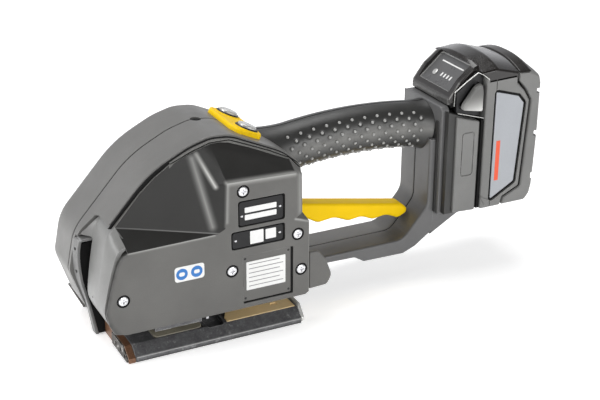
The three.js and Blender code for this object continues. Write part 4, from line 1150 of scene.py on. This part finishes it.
def dark_top(piece):
    """The arched top of the pack is black; its flanks are grey."""
    piece.data.materials.append(MATERIALS["pack_top"])
    for polygon in piece.data.polygons:
        if polygon.center.z > BLACK_ABOVE * MM and polygon.normal.z > 0.1:
            polygon.material_index = 1


def pack_piece(name, shape, finish, slot, nodes=(), **looks):
    """A piece that slides with the battery."""
    return build(name, shape, finish, "battery_pack", slot, nodes, **looks)


def on_flank(outline, s, inner, outer, edge=0.0):
    """A slab on one flank of the pack; inner and outer are measured out from the flank."""
    return slab(outline, *flank(s, PACK_HALF + inner, PACK_HALF + outer), edge)


CLIP = [(252, 64), (256.4, 55.4), (261.2, 59, 0.5)]
GASKET = [(268, 55), (294, 66), (296, 140), (284.4, 160), (284.4, 168), (268, 168)]
STRIPE = plate_outline(265.5, 269.5, 76, 112, 0.3)
dark_top(pack_piece("pack_case", crowned(slab(CASE, -PACK_HALF, PACK_HALF, 1.8, slices=14)), "pack", "pack",
                    ["pack_case"],
                    cuts=[pack_seam(262), *(on_flank(inset(LABEL, -2.4), s, -2.2, 3) for s in (-1, 1)),
                          box(256, 272, -34, 34, 57, 150)],
                    adds=[on_flank(CLIP, s, -2, 0.8, 0.3) for s in (-1, 1)], bevel=0.3))
pack_piece("pack_gasket", slab(GASKET, -36.3, 36.3, 0.5), "seal", "black_plastic", ["pack_case"])
pack_piece("pack_front", box(249.8, CASE_FRONT + 1, -36, 36, 53, 133, 0.4), "seal", "black_plastic", ["pack_case"],
           adds=[box(238, 251, -20, 20, 88, 128, 0.5)])
for s, half in SIDES:
    pack_piece(f"pack_label_{half}", on_flank(LABEL, s, -1.7, -0.7, 0.25), "pack_label", "pack_label",
               [f"pack_label_{half}"])
    # Painted shade: a black sheet round the label stands in for the shadow line along its edge.
    pack_piece(f"pack_label_seat_{half}", on_flank(inset(LABEL, -2.35), s, -2.3, -1.6), "seal", "black_plastic")
    pack_piece(f"pack_stripe_{half}", on_flank(STRIPE, s, -0.9, -0.6), "red", "pack_label")
NOTCHES = [box(303, 312, -50, 50, z - tall, z) for z, tall in ((153.2, 4.2), (115.4, 4.8), (76.8, 6.2))]
dark_top(pack_piece("pack_tail", crowned(slab(TAIL, -PACK_HALF, PACK_HALF, 2.2, slices=14)), "pack", "pack",
                    ["pack_tail"], cuts=NOTCHES, bevel=0.35))

HEAD = [
    (222.6, 147.4, 1.5), (221.4, 154, 3), (231.4, 167.4, 14), (245.4, 177, 8), (262, 177.4, 10), (283.4, 170.4, 1),
    (283.4, 165.2), (252, 165), (251.4, 143), (232, 146.6, 2),
]
CHEEK = [(226.2, 140), (226.2, 158.4), (246.4, 175.2, 2), (255, 168.2, 1), (251.2, 150), (251.2, 134)]


def head_shape():
    """The black head, whose top arches like the case behind it and drops towards both flanks."""
    points, faces = slab(HEAD, -PACK_HALF, PACK_HALF, 1.4, slices=16)
    moved = []
    for x, y, z in points:
        side = (abs(y) / PACK_HALF) ** CROWN_POWER
        rear = ramp(x, 250, 30)
        rise = 4.5 + 4 * rear - (7 + 2 * rear) * side
        moved.append((x, y, z + ramp(x, 238, 9) * ramp(z, 162, 10) * rise))
    return moved, faces


def cheek_cut(s):
    """Clears the side of the head round the release button, up to the shoulder beside the gauge."""
    outline = [(214, 136), (214, 195), (243, 195), (250.5, 181), (247.2, 175.2), (255, 168.2), (251.8, 150),
               (251.8, 136)]
    return slab(outline, *flank(s, 28.4, 44))


GAUGE_TILT = math.atan2(22, 25.4)
GAUGE_MIDDLE = (236.4, 165.9)


def on_gauge(shape):
    """Moves a shape made flat, u up the slope, v across, h outwards, onto the front slope of the head."""
    c, s = math.cos(GAUGE_TILT), math.sin(GAUGE_TILT)
    points, faces = shape
    x, z = GAUGE_MIDDLE
    return [(x + u * c - h * s, v, z + u * s + h * c) for u, v, h in points], faces


GAUGE_RECESS = plate_outline(-14.6, 14.6, -23.5, 23.5, 1.5)
GAUGE = plate_outline(-14, 14.2, -22.6, 22.6, 1.2)
GAUGE_BUTTON = (-4, 12)
GAUGE_CAP = [(0, -0.6), (2.8, -0.6), (2.8, 0.6), (2.3, 0.95), (0, 1.05)]
CHIN = [(220.6, 147.4, 1.5), (220.6, 153.2, 3), (225.6, 157.6, 1), (227, 150), (225, 147.4)]
pack_piece("pack_head", head_shape(), "gloss", "gloss_black", ["pack_head"], crease=50,
           cuts=[cheek_cut(-1), cheek_cut(1), on_gauge(slab(GAUGE_RECESS, -0.9, 6, axis="z"))], bevel=0.3)
pack_piece("head_floor", box(223.6, 250, -29, 29, 145.4, 149, 0.3), "seal", "black_plastic", ["pack_head"])
pack_piece("gauge_chin", slab(CHIN, -28, 28, 1.2), "chin", "gloss_black")
# Painted highlight: the gloss black bezel is coloured light satin trim, standing in for its reflections.
bezel = combined(slab(inset(GAUGE, -1.6), -0.6, 0.8, 0, 0.6, axis="z"), [slab(GAUGE, -2, 3, axis="z")])
pack_piece("gauge_bezel", on_gauge(bezel), "trim", "gloss_black")
pack_piece("gauge_panel", on_gauge(slab(GAUGE, -0.8, 0.2, 0, 0.2, axis="z")), "gauge", "gauge", ["gauge_panel"],
           cuts=[on_gauge(rod(*GAUGE_BUTTON, 3.1, -3, 3, axis="z"))])
build("gauge_button", on_gauge(turned(GAUGE_CAP, *GAUGE_BUTTON, "z")), "button", "gauge_button", "button",
      ["gauge_button"])
for i in range(4):
    v = 2.2 - 4.4 * i
    lamp = slab(plate_outline(-5.4, -1.6, v - 0.9, v + 0.9, 0.5), 0.1, 0.45, 0.1, axis="z")
    pack_piece(f"gauge_bar_{i + 1}", on_gauge(lamp), "label", "gauge")
rule = slab(plate_outline(7.4, 8.6, -17, 15, 0.3), 0.1, 0.35, axis="z")
pack_piece("gauge_rule", on_gauge(rule), "label", "gauge")

RELEASE = [(230, 144.6, 2), (231, 149, 3), (241.8, 162.6, 4), (248, 166, 2), (249.6, 158, 3), (249.6, 141, 1.5)]
# Painted highlights: thin light tubes along the rim and sill of each release well stand in for the light on the gloss
# black edges.
RELEASE_RIM_HIGHLIGHT = [(226.6, 29.4, 146.5), (226.4, 29.8, 158.6), (236, 31.2, 166.4), (245.8, 33.4, 174.0),
               (249.6, 35.6, 172.2), (254.6, 37.2, 168.0)]
RELEASE_SILL_HIGHLIGHT = [(226.5, 35.6, 142.2), (238, 36.6, 138.9), (250.6, 37.6, 135.2)]
HIGHLIGHT_SECTION = [(0.5 * math.cos(t), 0.5 * math.sin(t)) for t in np.linspace(0, 2 * math.pi, 10, False)]
for s, half in SIDES:
    well = slab(inset(CHEEK, 1.2), *flank(s, 27, 31.6), 0.3)
    pack_piece(f"release_well_{half}", well, "black", "gloss_black", ["pack_head"],
               cuts=[slab(inset(RELEASE, -0.6), *flank(s, 29, 40))])
    button = slab(RELEASE, *flank(s, 32.4, PACK_HALF + 0.2), 1.6)
    build(f"release_button_{half}", button, "release", f"release_{half}", "button", [f"release_button_{half}"])
    for job, line, wide, tall in (("rim", RELEASE_RIM_HIGHLIGHT, 1.0, 1.0), ("sill", RELEASE_SILL_HIGHLIGHT, 1.2, 0.8)):
        path = [(x, s * y, z) for x, y, z in line]
        section = [(wide * a, tall * b) for a, b in HIGHLIGHT_SECTION]
        pack_piece(f"release_{job}_{half}", sweep(path, section), "trim", "gloss_black")

# ---------------------------------------------------------------- CAD nodes that stay as they are
KEPT = {
    "alloy": ["main_frame", "tension_gearbox", "rocker", "wheel_gear"],
    "steel": ["tension_motor", "weld_motor", "tension_wheel", "wheel_shaft", "drive_gear", "drive_shaft", "lift_pin",
              "rocker_bearing", "wheel_bearing", "eccentric_shaft", "eccentric_bearing", "cutter_blade", "lever_pin",
              "lever_spring"],
    "foot": ["weld_shoe"],
    "board": ["circuit_board"],
    "black": ["contact_block"],
    "cells": ["cell_block"],
}
for finish, names in KEPT.items():
    for name in names:
        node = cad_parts[name]
        node.data.materials.clear()
        node.data.materials.append(MATERIALS[finish])
        node.data.polygons.foreach_set("use_smooth", [True] * len(node.data.polygons))
        node.data.set_sharp_from_angle(angle=math.radians(32))

# ---------------------------------------------------------------- camera, lights and floor


def studio():
    wide, low = 4000, -0.2
    corners = [(-wide, -wide, low), (wide, -wide, low), (wide, wide, low), (-wide, wide, low)]
    floor = mesh_object("floor", (corners, [(0, 1, 2, 3)]))
    paper = bpy.data.materials.new("paper")
    paper.use_nodes = True
    shader = paper.node_tree.nodes["Principled BSDF"]
    shader.inputs["Base Color"].default_value = (0.86, 0.86, 0.86, 1)
    shader.inputs["Roughness"].default_value = 0.75
    shader.inputs["Emission Color"].default_value = (1, 1, 1, 1)
    shader.inputs["Emission Strength"].default_value = 0.5
    floor.data.materials.append(paper)

    world = bpy.data.worlds.new("studio")
    world.use_nodes = True
    nodes = Nodes(world.node_tree)
    background = world.node_tree.nodes["Background"]
    direction = nodes.add("ShaderNodeTexCoord").outputs["Generated"]
    split = nodes.add("ShaderNodeSeparateXYZ", {0: direction}).outputs
    high = nodes.spread(split["Z"], 0.25, 0.75)
    behind = nodes.spread(split["Y"], -0.1, 0.6)
    low_sky = nodes.blend(behind, (0.4, 0.4, 0.4, 1), (1.15, 1.16, 1.2, 1))
    sky = nodes.blend(high, low_sky, (0.1, 0.1, 0.1, 1))
    world.node_tree.links.new(sky, background.inputs["Color"])
    background.inputs["Strength"].default_value = 0.8
    bpy.context.scene.world = world

    for name, place, target, size, power in (
        ("overhead", (0.05, 0.5, 1.5), (0.06, 0, 0.05), (1.6, 1.0), 18),
        ("left", (-1.35, 0.1, 0.7), (0, 0, 0.08), (0.8, 0.9), 13),
        ("front", (0.3, -1.45, 0.55), (0.05, 0, 0.04), (1.6, 0.5), 13),
    ):
        data = bpy.data.lights.new(name, "AREA")
        data.shape = "RECTANGLE"
        data.size, data.size_y = size
        data.energy = power
        lamp = bpy.data.objects.new(name, data)
        lamp.location = place
        lamp.rotation_euler = (Vector(target) - Vector(place)).to_track_quat("-Z", "Y").to_euler()
        bpy.context.scene.collection.objects.link(lamp)


def camera():
    azimuth, elevation, roll = (math.radians(a) for a in (-26.7425, 24.2128, 0.2773))
    flat = Vector((math.cos(azimuth), math.sin(azimuth), 0))
    back = Vector((math.sin(azimuth) * math.cos(elevation), -math.cos(azimuth) * math.cos(elevation),
                   math.sin(elevation)))
    upright = back.cross(flat)
    right = math.cos(roll) * flat + math.sin(roll) * upright
    up = -math.sin(roll) * flat + math.cos(roll) * upright
    data = bpy.data.cameras.new("camera")
    data.lens = 79.56
    data.shift_x, data.shift_y = -0.00085, 0.0141
    data.clip_start, data.clip_end = 0.05, 20
    made = bpy.data.objects.new("camera", data)
    turn = Matrix((right, up, back)).transposed().to_4x4()
    made.matrix_world = Matrix.Translation((-0.3489, -0.8916, 0.5165)) @ turn
    bpy.context.scene.collection.objects.link(made)
    bpy.context.scene.camera = made


studio()
camera()
bpy.context.scene.view_settings.view_transform = "Standard"
